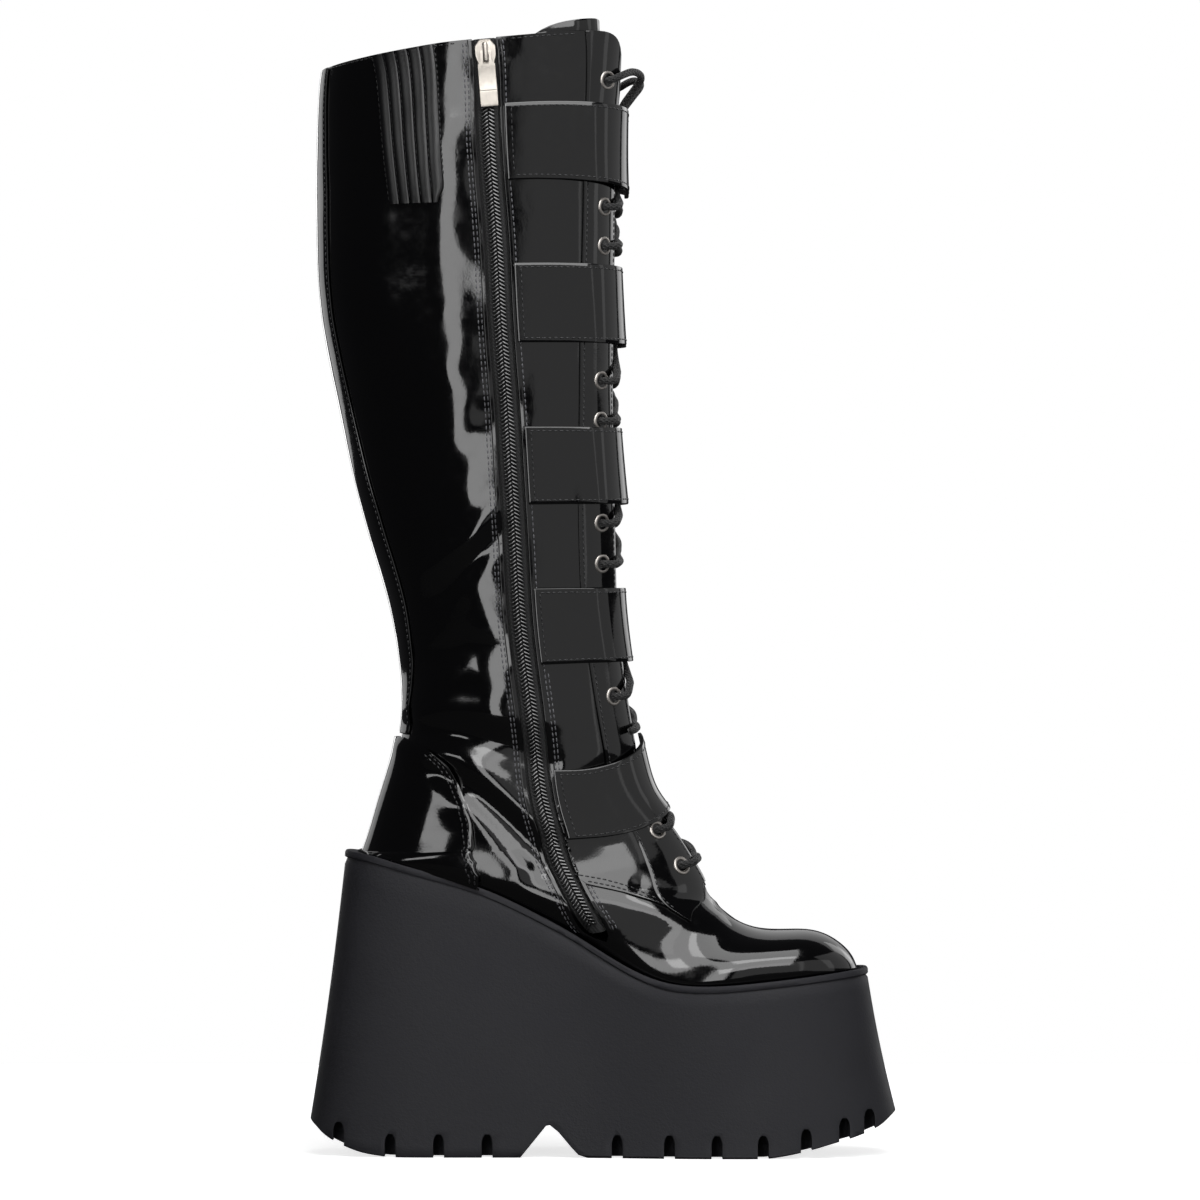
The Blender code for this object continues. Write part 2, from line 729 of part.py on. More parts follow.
def boolean(obj, other, operation):
    """Adds an exact Boolean to an object."""
    modifier = obj.modifiers.new(operation.lower(), "BOOLEAN")
    modifier.operation = operation
    modifier.solver = "EXACT"
    modifier.object = other


# The sole
SOLE_BACK = HEEL_X - HEEL_FLARE
SOLE_LENGTH = LAST_LENGTH + HEEL_FLARE + TOE_FLARE
OUTLINE_STATIONS = 30


def tread_z(x):
    """Height of the tread's underside at x."""
    s = (x - SOLE_BACK) / SOLE_LENGTH
    return line(TREAD_ROWS, 1)(s) * HEEL_TUCK + line(TREAD_ROWS, 2)(s) * TOE_SPRING


def ring(heel, toe, grow, height):
    """A ring of points on the feather outline, grown at heel, toe and sides, at height(x)."""
    turn = np.linspace(0, math.pi, OUTLINE_STATIONS + 1)
    s = (1 - np.cos(turn)) / 2
    start = HEEL_X - heel
    x = start + s * (LAST_LENGTH + heel + toe)
    inner = [(x[k], -half_width(s[k], INNER, grow), height(x[k])) for k in range(OUTLINE_STATIONS + 1)]
    outer = [(x[k], half_width(s[k], OUTER, grow), height(x[k])) for k in range(OUTLINE_STATIONS - 1, 0, -1)]
    return [tuple(float(v) for v in p) for p in inner + outer]


def between(low, high, share, inward=0.0):
    """The ring a share of the way up from low to high, drawn in towards the middle by inward."""
    made = []
    for a, b in zip(low, high):
        p = Vector(a).lerp(Vector(b), share)
        away = Vector((p.x, p.y, 0)).normalized()
        made.append(tuple(p - away * inward))
    return made


def sole():
    """The moulded platform, with its rim band, seat, side lugs and the notch before the heel."""
    rim_top = lambda x: float(seat_z(x)) + RIM_HEIGHT
    floor_ring = ring(HEEL_FLARE, TOE_FLARE, SIDE_FLARE, lambda x: float(tread_z(x)))
    top_ring = ring(HEEL_LEDGE, TOE_LEDGE, SIDE_LEDGE, rim_top)
    band_ring = ring(HEEL_LEDGE, TOE_LEDGE, SIDE_LEDGE, lambda x: rim_top(x) - RIM_BAND)
    edge_ring = ring(HEEL_LEDGE, TOE_LEDGE, SIDE_LEDGE, lambda x: rim_top(x) - 0.0004)
    bead = 0.0012
    rings = [
        between(floor_ring, band_ring, 0.0, bead),
        between(floor_ring, band_ring, 0.012),
        between(floor_ring, band_ring, 0.35, 0.0008),
        between(floor_ring, band_ring, 0.75, 0.0010),
        between(floor_ring, band_ring, 0.985, 0.0002),
        between(band_ring, top_ring, 0.0, RIM_STEP),
        between(band_ring, edge_ring, 1.0, RIM_STEP),
        between(top_ring, top_ring, 0.0, RIM_STEP + 0.0005),
        ring(RIM_GROOVE, RIM_GROOVE, RIM_GROOVE, rim_top),
        ring(RIM_GROOVE, RIM_GROOVE, RIM_GROOVE, lambda x: float(seat_z(x))),
    ]
    obj = add_object("sole", lofted(True, rings, True), "rubber", 30)
    boolean(obj, cutter("lug_cutter", lug_gaps()), "DIFFERENCE")
    boolean(obj, cutter("notch_cutter", arch_notch()), "DIFFERENCE")
    return obj


def lug_gaps():
    """Slots between the side lugs, cut in from both edges of the tread."""
    gaps = bmesh.new()
    depth_outside = 0.03
    for place in LUG_PLACES:
        x = SOLE_BACK + place * SOLE_LENGTH
        foot = float(tread_z(x))
        for side in (INNER, OUTER):
            edge = float(half_width(place, side, SIDE_FLARE))
            inner_end = max(edge - LUG_DEPTH, 0.004)
            half_gap = LUG_GAP / 2
            outline_xz = [
                (-half_gap, -0.008),
                (half_gap, -0.008),
                (half_gap, LUG_HEIGHT * 0.72),
                (half_gap * 0.45, LUG_HEIGHT),
                (-half_gap * 0.45, LUG_HEIGHT),
                (-half_gap, LUG_HEIGHT * 0.72),
            ]
            near = [gaps.verts.new((x + a, side * inner_end, foot + b)) for a, b in outline_xz]
            far = [gaps.verts.new((x + a, side * (edge + depth_outside), foot + b)) for a, b in outline_xz]
            add_prism(gaps, near, far)
    return gaps


def add_prism(bm, near, far):
    """Faces of a prism between two like rings of vertices."""
    bm.faces.new(near)
    bm.faces.new(far[::-1])
    for k in range(len(near)):
        other = (k + 1) % len(near)
        bm.faces.new([near[k], far[k], far[other], near[other]])


def arch_notch():
    """The notch that runs through under the waist, between heel and forefoot."""
    notch = bmesh.new()
    reach = BALL_WIDTH
    shape = [(SOLE_BACK + s * SOLE_LENGTH, h * ARCH_HEIGHT) for s, h in NOTCH_ROWS]
    near = [notch.verts.new((x, -reach, z)) for x, z in shape]
    far = [notch.verts.new((x, reach, z)) for x, z in shape]
    add_prism(notch, near, far)
    return notch


def insole():
    """The insole board, on the seat inside the upper."""
    low = ring(-INSOLE_INSET, -INSOLE_INSET, -INSOLE_INSET, lambda x: float(seat_z(x)) + GAP)
    high = ring(
        -INSOLE_INSET, -INSOLE_INSET, -INSOLE_INSET, lambda x: float(seat_z(x)) + GAP + INSOLE_THICKNESS
    )
    return add_object("insole", lofted(True, [low, high], True), "lining")


# The upper
UPPER_STATIONS = (
    0, 0.5, 1, 1.5, 2, 3, 4, 5, 6, 7, 8, 9, 10, 10.6, 10.9, 11.3, 12, 12.8, 13.6, 14, 14.04, 14.4, 15, 15.7,
    16.3, 16.8, 17.15, 17.4, 17.9, 18.15, 18.35, 18.75, 19.15, 19.55, 20, 21, 22.2, 23.4, 24.5, 25.5,
    26.3, 26.75, 27,
)
FRONT_COLUMNS = 5
BACK_COLUMNS = 6


def collar_grid(stations, turns, edge, side):
    """Stations for each grid point, dropped at the throat's rounded top corner."""
    u = np.asarray(stations, float)[:, None] + 0 * turns
    drop = corner(turns[:1], edge[:1], u[:1], side)
    return u + drop * np.clip(1 - u / 2.0, 0, 1)


def upper_panel(stations, turns, edge, side):
    """One panel of the upper's wall, as outer and inner point grids."""
    u = collar_grid(stations, turns, edge, side)
    outer = raised(u, turns, side, 0.0)
    inner = raised(u, turns, side, -WALL)
    inner[..., 2] = np.maximum(inner[..., 2], seat_z(inner[..., 0]) + SEAT_GAP)
    toe = u >= STATION_TOE
    inner[toe] = outer[toe] - np.array([WALL, 0, 0])
    return outer, inner, side == OUTER


def upper():
    """The hollow upper: leg, foot and toe as one wall, open at collar, throat, zip and underneath."""
    u = np.asarray(UPPER_STATIONS, float)[:, None]
    zip_front, zip_middle, zip_back = zip_turns(u)
    closed = u >= STATION_ZIP_END
    zip_front = np.where(closed, zip_middle, zip_front)
    zip_back = np.where(closed, zip_middle, zip_back)
    edge = throat_turn(u, INNER)
    share = np.linspace(0, 1, FRONT_COLUMNS + 1)[None, :]
    front = edge + (zip_front - edge) * share
    share = np.linspace(0, 1, BACK_COLUMNS + 1)[None, :]
    back = zip_back + (section(u, INNER)["end_turn"] - zip_back) * share
    outer_edge = throat_turn(u, OUTER)
    outer_middle = turn_at_share(u, OUTER, zip_share(u))
    outer_end = section(u, OUTER)["end_turn"]
    share = np.arange(FRONT_COLUMNS + BACK_COLUMNS + 1)[None, :]
    ahead = np.minimum(share / FRONT_COLUMNS, 1)
    behind = np.maximum(share - FRONT_COLUMNS, 0) / BACK_COLUMNS
    outside = outer_edge + (outer_middle - outer_edge) * ahead + (outer_end - outer_middle) * behind
    panels = [
        upper_panel(UPPER_STATIONS, front, edge, INNER),
        upper_panel(UPPER_STATIONS, back, edge, INNER),
        upper_panel(UPPER_STATIONS, outside, outer_edge, OUTER),
    ]
    return add_object("upper", shell(panels), "patent")


def tongue():
    """The tongue, under the throat's edges and a little above the collar."""
    top = -TONGUE_ABOVE_COLLAR / (SHAFT_HEIGHT * (LEG_ROWS[0][1] - LEG_ROWS[1][1]))
    stations = np.array((top, 0, 0.5, 1.3, 2.5, 4, 5.5, 7, 8.5, 9.7, 10.6, 11.3, 12, 12.8, 13.7, 14.6, 15.7, 16.7, 17.5))
    columns = 8
    share = np.linspace(-1, 1, columns + 1)[None, :]
    u = stations[:, None] + 0 * share
    reach = turn_at_width(u, INNER, throat_share(u) * THROAT_WIDTH / 2 + TONGUE_UNDERLAP)
    spread = turn_at_share(u, INNER, TONGUE_TOP_REACH)
    reach = reach + (spread - reach) * smooth((TONGUE_WIDENS - u) / TONGUE_WIDENS)
    turn = np.where(np.abs(share) < 1e-9, 0.0, share * reach)
    tuck = TONGUE_TUCK * smooth(np.abs(share) * 1.15)
    lean = TONGUE_LEAN * smooth((1.3 - u) / 1.6) * (1 - smooth(np.abs(share)))
    lift = -(TONGUE_SINK + tuck + lean)
    outer = raised(u, turn, INNER, lift)
    inner = raised(u, turn, INNER, lift - TONGUE_THICKNESS)
    round_off = np.abs(share) ** 4 * TONGUE_ABOVE_COLLAR * (stations[:, None] == top)
    outer[..., 2] -= round_off
    inner[..., 2] -= round_off
    return add_object("tongue", shell([(outer, inner, False)]), "patent")


def heel_counter():
    """The counter round the heel, raised on the upper from the sole to its curved top edge."""
    share = line(COUNTER_ROWS)
    stations = upper_stations(COUNTER_ROWS[0][0], COUNTER_ROWS[-1][0], (14.04,))
    panels = []
    for side in (INNER, OUTER):

        def foot(u, side=side):
            end = section(u, side)["end_turn"] + 0 * u
            return np.where(u < STATION_COUNTER_SIDE, end, turn_above_seat(u, side, COUNTER_STOP))

        def edge(u, side=side, foot=foot):
            return np.minimum(turn_at_share(u, side, share(u)), foot(u))

        panels.append(patch(stations, edge, foot, 7, side, COUNTER_THICKNESS, COUNTER_SEAT))
    behind = stations < STATION_COUNTER_SIDE
    for outer, inner, _ in panels:
        for grid in (outer, inner):
            lowest = seat_z(grid[behind, :, 0]) + COUNTER_STOP
            grid[behind, :, 2] = np.maximum(grid[behind, :, 2], lowest)
    return add_object("heel_counter", shell(panels), "patent")


def back_stay():
    """The narrow strip that covers the back seam, from the collar to the counter."""
    share = spline(BACKSTAY_ROWS)
    stations = upper_stations(0.04, 10.5)
    panels = [
        patch(
            stations,
            lambda u, s=side: turn_at_share(u, s, share(u)),
            lambda u, s=side: section(u, s)["end_turn"] + 0 * u,
            2,
            side,
            OVERLAY,
        )
        for side in (INNER, OUTER)
    ]
    return add_object("back_stay", shell(panels), "patent")


def eyestay(name, side):
    """The facing that carries one row of eyelets, from the collar to its pointed tip on the vamp."""
    back_share, front_share = spline(EYESTAY_ROWS), line(EYESTAY_FRONT_ROWS)
    tip = EYESTAY_FRONT_ROWS[-1][0]
    first = EYESTAY_FRONT_ROWS[0][0]
    stations = upper_stations(0.0, tip)
    u = np.asarray(stations, float)[:, None]
    edge = throat_turn(u, side)
    low = np.where(u <= first, edge, np.maximum(turn_at_share(u, side, front_share(u)), edge))
    high = np.where(u >= tip, low, turn_at_share(u, side, back_share(u)))
    flat = [along_by(u, edge, side, EYELET_SETBACK + reach) for reach in (-EYELET_SEAT, EYELET_SEAT)]
    turns = np.concatenate(
        [
            low,
            np.clip(flat[0], low, low + (high - low) * 0.4),
            np.clip(flat[1], low + (high - low) * 0.6, low + (high - low) * 0.85),
            high,
        ],
        axis=1,
    )
    grid = collar_grid(stations, turns, edge, side) + 0.03 * (u == 0)
    return add_object(name, shell([lying(grid, turns, side, OVERLAY)]), "patent")


def stretch_gusset():
    """The elastic panel beside the zip, covered with upright ribs."""
    per_rib = 4
    columns = RIB_COUNT * per_rib
    share = np.linspace(0, 1, columns + 1)[None, :]
    u = upper_stations(GUSSET_FRONT_ROWS[0][0], GUSSET_FRONT_ROWS[-1][0])[:, None]
    low = turn_at_share(u, INNER, line(GUSSET_FRONT_ROWS)(u))
    high = turn_at_share(u, INNER, line(GUSSET_BACK_ROWS)(u))
    turn = low + (high - low) * share
    rib = np.array([0.25, 1, 1, 1] * RIB_COUNT + [0.25])[None, :]
    lift = 0.0006 + RIB_HEIGHT * (rib - 0.25) + 0 * u
    panel = lying(u + 0 * share, turn, INNER, lift)
    return add_object("stretch_gusset", shell([panel]), "patent")


def strap_lift(turn, corner_turn, end_turn, front, peak):
    """Lift of a strap's inside: flat on the leg at its ends, standing off at the front corners."""
    t = np.abs(turn)
    inner = front + (peak - front) * smooth(t / corner_turn)
    fall = smooth((t - corner_turn * 1.15) / (end_turn - corner_turn * 1.15) / 0.75)
    return np.where(t < corner_turn, inner, peak + (STRAP_SEAT - peak) * fall)


def strap(name, row):
    """One strap: sewn on the leg beside the zip, round the front over the lace, and sewn on the outer side."""
    side_top, side_bottom, front_top, front_bottom = row[:4]
    top_lift, bottom_lift, top_corner, bottom_corner = row[4:]
    down = np.array([0, 0.5, 1])[:, None]
    spread = np.linspace(-1, 1, 21)[None, :]
    share = np.sign(spread) * np.abs(spread) ** 0.85
    blend = smooth(np.abs(share) / 0.9)
    top = front_top + (side_top - front_top) * blend
    bottom = front_bottom + (side_bottom - front_bottom) * blend
    u = top + (bottom - top) * down
    end = along_by(u, zip_turns(u)[0], INNER, -0.0035)
    edge = turn_at_width(u, INNER, throat_half(u) * 1.16)
    turn = np.where(np.abs(share) < 1e-9, 0.0, share * end)
    front = top_lift + (bottom_lift - top_lift) * down
    peak = top_corner + (bottom_corner - top_corner) * down
    lift = strap_lift(turn, edge, end, front, peak) + sagitta(u, turn, INNER)
    panel = (
        raised(u, turn, INNER, lift + STRAP_THICKNESS),
        raised(u, turn, INNER, lift),
        False,
    )
    return add_object(name, shell([panel]), "patent")


# The zip
def zip_chain():
    """The closed zip: a tape in the upper's slot with the raised coil along its middle."""
    u = upper_stations(0.14, 18.15)[:, None]
    tape, chain = ZIP_WIDTH / 2, CHAIN_WIDTH / 2
    across = np.array([-tape, -chain - 0.0002, -chain, chain, chain + 0.0002, tape])[None, :]
    lift = np.array([-TAPE_DROP, -TAPE_DROP, CHAIN_RISE, CHAIN_RISE, -TAPE_DROP, -TAPE_DROP])[None, :]
    narrow = np.minimum(1, (zip_half(u) - GAP) / tape)
    middle = zip_turns(u)[1]
    turn = along_by(u + 0 * across, middle + 0 * across, INNER, across * narrow)
    grid = u + 0 * across
    panel = (
        raised(grid, turn, INNER, lift + 0 * u),
        raised(grid, turn, INNER, -TAPE_DROP - TAPE_THICKNESS + 0 * grid),
        False,
    )
    return add_object("zip", shell([panel]), "zip_tape")


def zip_frame():
    """The slider's own axes at the zip's top: down the zip, across it, and out from the leg."""
    top = 0.5
    middle = zip_turns(np.array([top - 0.1, top, top + 0.1]))[1]
    here = [Vector(raised(s, t, INNER, CHAIN_RISE)) for s, t in zip((top - 0.1, top, top + 0.1), middle)]
    down = (here[2] - here[0]).normalized()
    out = (Vector(raised(top, middle[1], INNER, 0.01)) - Vector(raised(top, middle[1], INNER, 0.0))).normalized()
    across = out.cross(down).normalized()
    out = down.cross(across).normalized()
    turn = Matrix((down, across, out)).transposed().to_4x4()
    pivot_lift = GAP + SLIDER_PLATE + BAIL_HEIGHT / 2
    return Matrix.Translation(here[1] + out * pivot_lift) @ turn


def joined(parts):
    """One solid from several, by Boolean unions in order."""
    base = parts[0]
    for other in parts[1:]:
        boolean(base, other, "UNION")
    return base


def piece(name, bm, matrix, material, guide=False):
    """An object, or a hidden guide, from a bmesh built in the slider's own axes."""
    bm.transform(matrix)
    if guide:
        return cutter(name, bm)
    return add_object(name, bm, material, 30)


def zip_slider():
    """The slider: a shield-shaped plate on the coil, with the bail that holds the pull."""
    matrix = zip_frame()
    base = -BAIL_HEIGHT / 2 - SLIDER_PLATE
    top = -BAIL_HEIGHT / 2
    half_length, half = SLIDER_LENGTH / 2, SLIDER_WIDTH / 2
    outline_xy = [
        (-half_length, -half * 0.45),
        (-half_length * 0.55, -half),
        (half_length * 0.1, -half),
        (half_length, -half * 0.7),
        (half_length, half * 0.7),
        (half_length * 0.1, half),
        (-half_length * 0.55, half),
        (-half_length, half * 0.45),
    ]
    plate = bmesh.new()
    add_prism(
        plate,
        [plate.verts.new((x, y, base)) for x, y in outline_xy],
        [plate.verts.new((x, y, top)) for x, y in outline_xy],
    )
    body = piece("zip_slider", plate, matrix, "nickel")
    sink = 0.0004
    foot = 0.0016
    rise = BAIL_HEIGHT + BAIL_THICKNESS
    bail = bmesh.new()
    span = BAIL_SPAN / 2
    profile = [
        (-span, top - sink),
        (-span, top + rise * 0.6),
        (-span * 0.72, top + rise),
        (span * 0.72, top + rise),
        (span, top + rise * 0.6),
        (span, top - sink),
        (span - foot, top - sink),
        (span - foot, top + BAIL_HEIGHT * 0.75),
        (span * 0.5, top + BAIL_HEIGHT),
        (-span * 0.5, top + BAIL_HEIGHT),
        (-span + foot, top + BAIL_HEIGHT * 0.75),
        (-span + foot, top - sink),
    ]
    add_prism(
        bail,
        [bail.verts.new((x, -BAIL_WIDTH / 2, z)) for x, z in profile],
        [bail.verts.new((x, BAIL_WIDTH / 2, z)) for x, z in profile],
    )
    return joined([body, piece("bail_guide", bail, matrix, "nickel", guide=True)])


def zip_pull():
    """The pull tab: a plate hung on the bail by the bar across the top of its window."""
    matrix = zip_frame()
    plate = bmesh_box((PULL_LENGTH, PULL_WIDTH, PULL_THICKNESS), (PULL_LENGTH / 2 - PULL_BAR / 2, 0, 0))
    window = bmesh_box(
        (WINDOW_LENGTH, WINDOW_WIDTH, PULL_THICKNESS * 3), (PULL_BAR / 2 + WINDOW_LENGTH / 2, 0, 0)
    )
    pull = piece("zip_pull", plate, matrix, "nickel")
    boolean(pull, piece("window_cutter", window, matrix, "nickel", guide=True), "DIFFERENCE")
    return pull


# Eyelets and lace
def eyelet(name, station, side):
    """One rolled eyelet ring on the eyestay."""
    u = np.array([[station - 0.1], [station + 0.1]]) * np.ones((1, 2))
    edge = throat_turn(u, side)
    reach = np.array([[-EYELET_SEAT, EYELET_SEAT]])
    turns = along_by(u, edge, side, EYELET_SETBACK + reach)
    stations = collar_grid(u[:, 0], turns, edge, side)
    seat = [Vector(p) for p in lying(stations, turns, side, OVERLAY)[0].reshape(-1, 3)]
    centre = sum(seat, Vector()) / 4
    out = (seat[1] + seat[3] - seat[0] - seat[2]).cross(seat[2] + seat[3] - seat[0] - seat[1]).normalized()
    out = out if out.dot(Vector((0, side, 0)) + Vector((1, 0, 0))) > 0 else -out
    matrix = Matrix.Translation(centre + out * GAP) @ out.to_track_quat("Z", "Y").to_matrix().to_4x4()
    segments = 9
    profile = (
        (EYELET_HOLE, 0.0),
        (EYELET_RADIUS, 0.0),
        (EYELET_RADIUS * 0.62 + EYELET_HOLE * 0.38, EYELET_RISE),
    )
    bm = bmesh.new()
    rings = []
    for k in range(segments):
        a = 2 * math.pi * k / segments
        rings.append([bm.verts.new((r * math.cos(a), r * math.sin(a), h)) for r, h in profile])
    for k in range(segments):
        here, there = rings[k], rings[(k + 1) % segments]
        for i in range(3):
            j = (i + 1) % 3
            bm.faces.new([here[i], there[i], there[j], here[j]])
    bm.transform(matrix)
    return add_object(name, bm, "nickel", 50)


def tube(points, radius, sides):
    """A round tube along points, with closed ends."""
    bm = bmesh.new()
    rings = []
    count = len(points)
    frame = None
    for k, p in enumerate(points):
        along = (points[min(k + 1, count - 1)] - points[max(k - 1, 0)]).normalized()
        if frame is None:
            frame = along.orthogonal().normalized()
        frame = (frame - along * frame.dot(along)).normalized()
        other = along.cross(frame)
        rings.append(
            [
                bm.verts.new(p + (frame * math.cos(a) + other * math.sin(a)) * radius)
                for a in (2 * math.pi * i / sides for i in range(sides))
            ]
        )
    for here, there in zip(rings, rings[1:]):
        for i in range(sides):
            bm.faces.new([here[i], here[(i + 1) % sides], there[(i + 1) % sides], there[i]])
    bm.faces.new(rings[0][::-1])
    bm.faces.new(rings[-1])
    return bm


def lace_bar(lower, upper, side):
    """Points of one lace from beside a lower eyelet, over the throat's edge, up to the other edge."""
    radius = LACE_DIAMETER / 2
    over = EYESTAY_TOP + GAP + radius
    rest = 2 * GAP + radius - TONGUE_SINK
    edge = float(throat_turn(np.float64(lower), side))
    far = float(throat_turn(np.float64(upper), side))
    start = float(along_by(np.float64(lower), edge, side, EYELET_SETBACK - EYELET_RADIUS - radius - GAP))
    stop = -float(along_by(np.float64(upper), far, side, -radius - LACE_SIDE_GAP))
    points = []
    for turn, sunk in (
        (start, 0.0),
        (edge, 0.0),
        (edge * 0.82, 0.35),
        (edge * 0.6, 1.0),
        (0.002, 1.0),
        (stop, 1.0),
    ):
        share = (start - turn) / (start - stop)
        station = np.float64(lower + (upper - lower) * share)
        points.append(Vector(raised(station, np.float64(turn), side, over + (rest - over) * sunk)))
    return points


def lace_crossing(name, lower, upper):
    """Two lace bars joined where they cross."""
    radius = LACE_DIAMETER / 2
    first = add_object(name, tube(lace_bar(lower, upper, INNER), radius, 5), "cord")
    second = cutter(name + "_guide", tube(lace_bar(lower, upper, OUTER), radius * 0.98, 5))
    boolean(first, second, "UNION")
    return first


def lace_end(name, side):
    """A lace's end, from the top eyelet down behind the top strap."""
    radius = LACE_DIAMETER / 2
    rows = [(k, *row) for k, row in enumerate(LACE_END_ROWS)]
    curves = [spline(rows, column) for column in (1, 2, 3)]
    points = []
    for t in np.linspace(0, len(LACE_END_ROWS) - 1, 14):
        station, width, lift = (float(curve(t)) for curve in curves)
        turn = turn_at_width(np.float64(station), side, width * THROAT_WIDTH / 2)
        points.append(Vector(raised(np.float64(station), turn, side, lift * LACE_DIAMETER)))
    return add_object(name, tube(points, radius, 5), "cord")


def build():
    for obj in list(bpy.data.objects):
        bpy.data.objects.remove(obj)
    sole()
    insole()
    upper()
    tongue()
    heel_counter()
    back_stay()
    eyestay("eyestay_inner", INNER)
    eyestay("eyestay_outer", OUTER)
    stretch_gusset()
    zip_chain()
    zip_slider()
    zip_pull()
    for number, row in enumerate(STRAP_ROWS, 1):
        strap(f"strap_{number}", row)
    for number, station in enumerate(EYELET_STATIONS, 1):
        eyelet(f"eyelet_inner_{number}", station, INNER)
        eyelet(f"eyelet_outer_{number}", station, OUTER)
    for number, (lower, upper_station) in enumerate(LACE_ROWS, 1):
        lace_crossing(f"lace_crossing_{number}", lower, upper_station)
    lace_end("lace_end_inner", INNER)
    lace_end("lace_end_outer", OUTER)


build()
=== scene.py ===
# Looks of the platform boot. The tables and the last's sections are those of the part's source.
import math

import bpy
import numpy as np
from mathutils import Matrix, Vector


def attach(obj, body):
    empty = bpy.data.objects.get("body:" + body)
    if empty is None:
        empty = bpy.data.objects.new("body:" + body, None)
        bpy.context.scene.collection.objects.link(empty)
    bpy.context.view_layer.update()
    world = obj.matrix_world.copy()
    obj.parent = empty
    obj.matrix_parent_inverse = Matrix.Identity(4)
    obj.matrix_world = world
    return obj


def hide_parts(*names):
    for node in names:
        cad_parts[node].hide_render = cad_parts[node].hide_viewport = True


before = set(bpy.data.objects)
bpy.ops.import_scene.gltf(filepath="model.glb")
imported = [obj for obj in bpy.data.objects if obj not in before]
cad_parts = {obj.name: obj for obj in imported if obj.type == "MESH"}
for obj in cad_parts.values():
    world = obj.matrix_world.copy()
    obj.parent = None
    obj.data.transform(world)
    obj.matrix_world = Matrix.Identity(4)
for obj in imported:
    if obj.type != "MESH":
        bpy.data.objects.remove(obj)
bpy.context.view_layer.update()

# Foot and leg
LAST_LENGTH = 0.2357
BALL_WIDTH = 0.092
INSTEP_RISE = 0.052
SHAFT_HEIGHT = 0.3907
CALF_DEPTH = 0.1435
CALF_WIDTH = 0.106
ANKLE_DEPTH = 0.108
ANKLE_WIDTH = 0.075
COLLAR_CROWN = 0.0055

# Sole
HEEL_HEIGHT = 0.1412
BALL_HEIGHT = 0.0792
TOE_LIFT = 0.0071
HEEL_FLARE = 0.0268
TOE_FLARE = 0.0187
SIDE_FLARE = 0.012
HEEL_LEDGE = 0.0098
TOE_LEDGE = 0.0050
SIDE_LEDGE = 0.0050
RIM_HEIGHT = 0.0025
RIM_BAND = 0.0034
RIM_GROOVE = 0.0028
HEEL_TUCK = 0.0168
TOE_SPRING = 0.0212
LUG_DEPTH = 0.018
LUG_HEIGHT = 0.011
LUG_GAP = 0.0052
ARCH_HEIGHT = 0.0155

# Upper and what is sewn on it
WALL = 0.002
GAP = 0.0003
SEAT_GAP = 0.0006
THROAT_WIDTH = 0.066
TONGUE_THICKNESS = 0.0022
TONGUE_SINK = 0.0032
TONGUE_TUCK = 0.0036
TONGUE_UNDERLAP = 0.009
TONGUE_ABOVE_COLLAR = 0.0075
TONGUE_LEAN = 0.0125
OVERLAY = 0.0010
COUNTER_THICKNESS = 0.0014
COUNTER_SEAT = 0.0018
RIB_HEIGHT = 0.0012
RIB_COUNT = 5
STRAP_THICKNESS = 0.0016
STRAP_SEAT = 0.0009

# Zip
ZIP_WIDTH = 0.011
CHAIN_WIDTH = 0.0066
CHAIN_RISE = 0.0009
TAPE_DROP = 0.0004
TAPE_THICKNESS = 0.0012
SLIDER_LENGTH = 0.0125
SLIDER_WIDTH = 0.0096
SLIDER_PLATE = 0.0014
BAIL_WIDTH = 0.0030
BAIL_SPAN = 0.0096
BAIL_HEIGHT = 0.0028
BAIL_THICKNESS = 0.0009
PULL_LENGTH = 0.0265
PULL_WIDTH = 0.0082
PULL_THICKNESS = 0.0012
PULL_BAR = 0.0016
WINDOW_LENGTH = 0.0056

# Eyelets and lace
EYELET_RADIUS = 0.0048
EYELET_HOLE = 0.0027
EYELET_SETBACK = 0.0105
EYELET_SEAT = 0.0052
LACE_DIAMETER = 0.0036

# Leg sections: height as a share of SHAFT_HEIGHT, front as a share of LAST_LENGTH from the heel,
# calf and girth between ankle (0) and calf (1) sizes, tilt of the back point as a share of SHAFT_HEIGHT
LEG_ROWS = (
    # station, height, front, calf, girth, tilt, widest, squareness
    (0, 1.000, 0.532, 1.054, 0.903, -0.0332, 0.46, 4.4),
    (1, 0.956, 0.5255, 1.054, 0.935, -0.0246, 0.46, 4.4),
    (2, 0.857, 0.513, 1.000, 1.000, -0.0123, 0.46, 4.4),
    (3, 0.759, 0.509, 0.966, 1.000, -0.0061, 0.46, 4.4),
    (4, 0.661, 0.507, 0.878, 0.935, -0.0025, 0.46, 4.4),
    (5, 0.563, 0.507, 0.676, 0.806, 0.0000, 0.46, 4.3),
    (6, 0.477, 0.509, 0.486, 0.645, -0.0025, 0.46, 4.2),
    (7, 0.391, 0.513, 0.257, 0.452, -0.0037, 0.47, 4.0),
    (8, 0.317, 0.516, 0.034, 0.258, -0.0061, 0.48, 3.7),
    (9, 0.249, 0.526, -0.040, 0.097, -0.0123, 0.49, 3.4),
    (10, 0.182, 0.542, 0.045, 0.000, -0.0025, 0.50, 3.1),
)

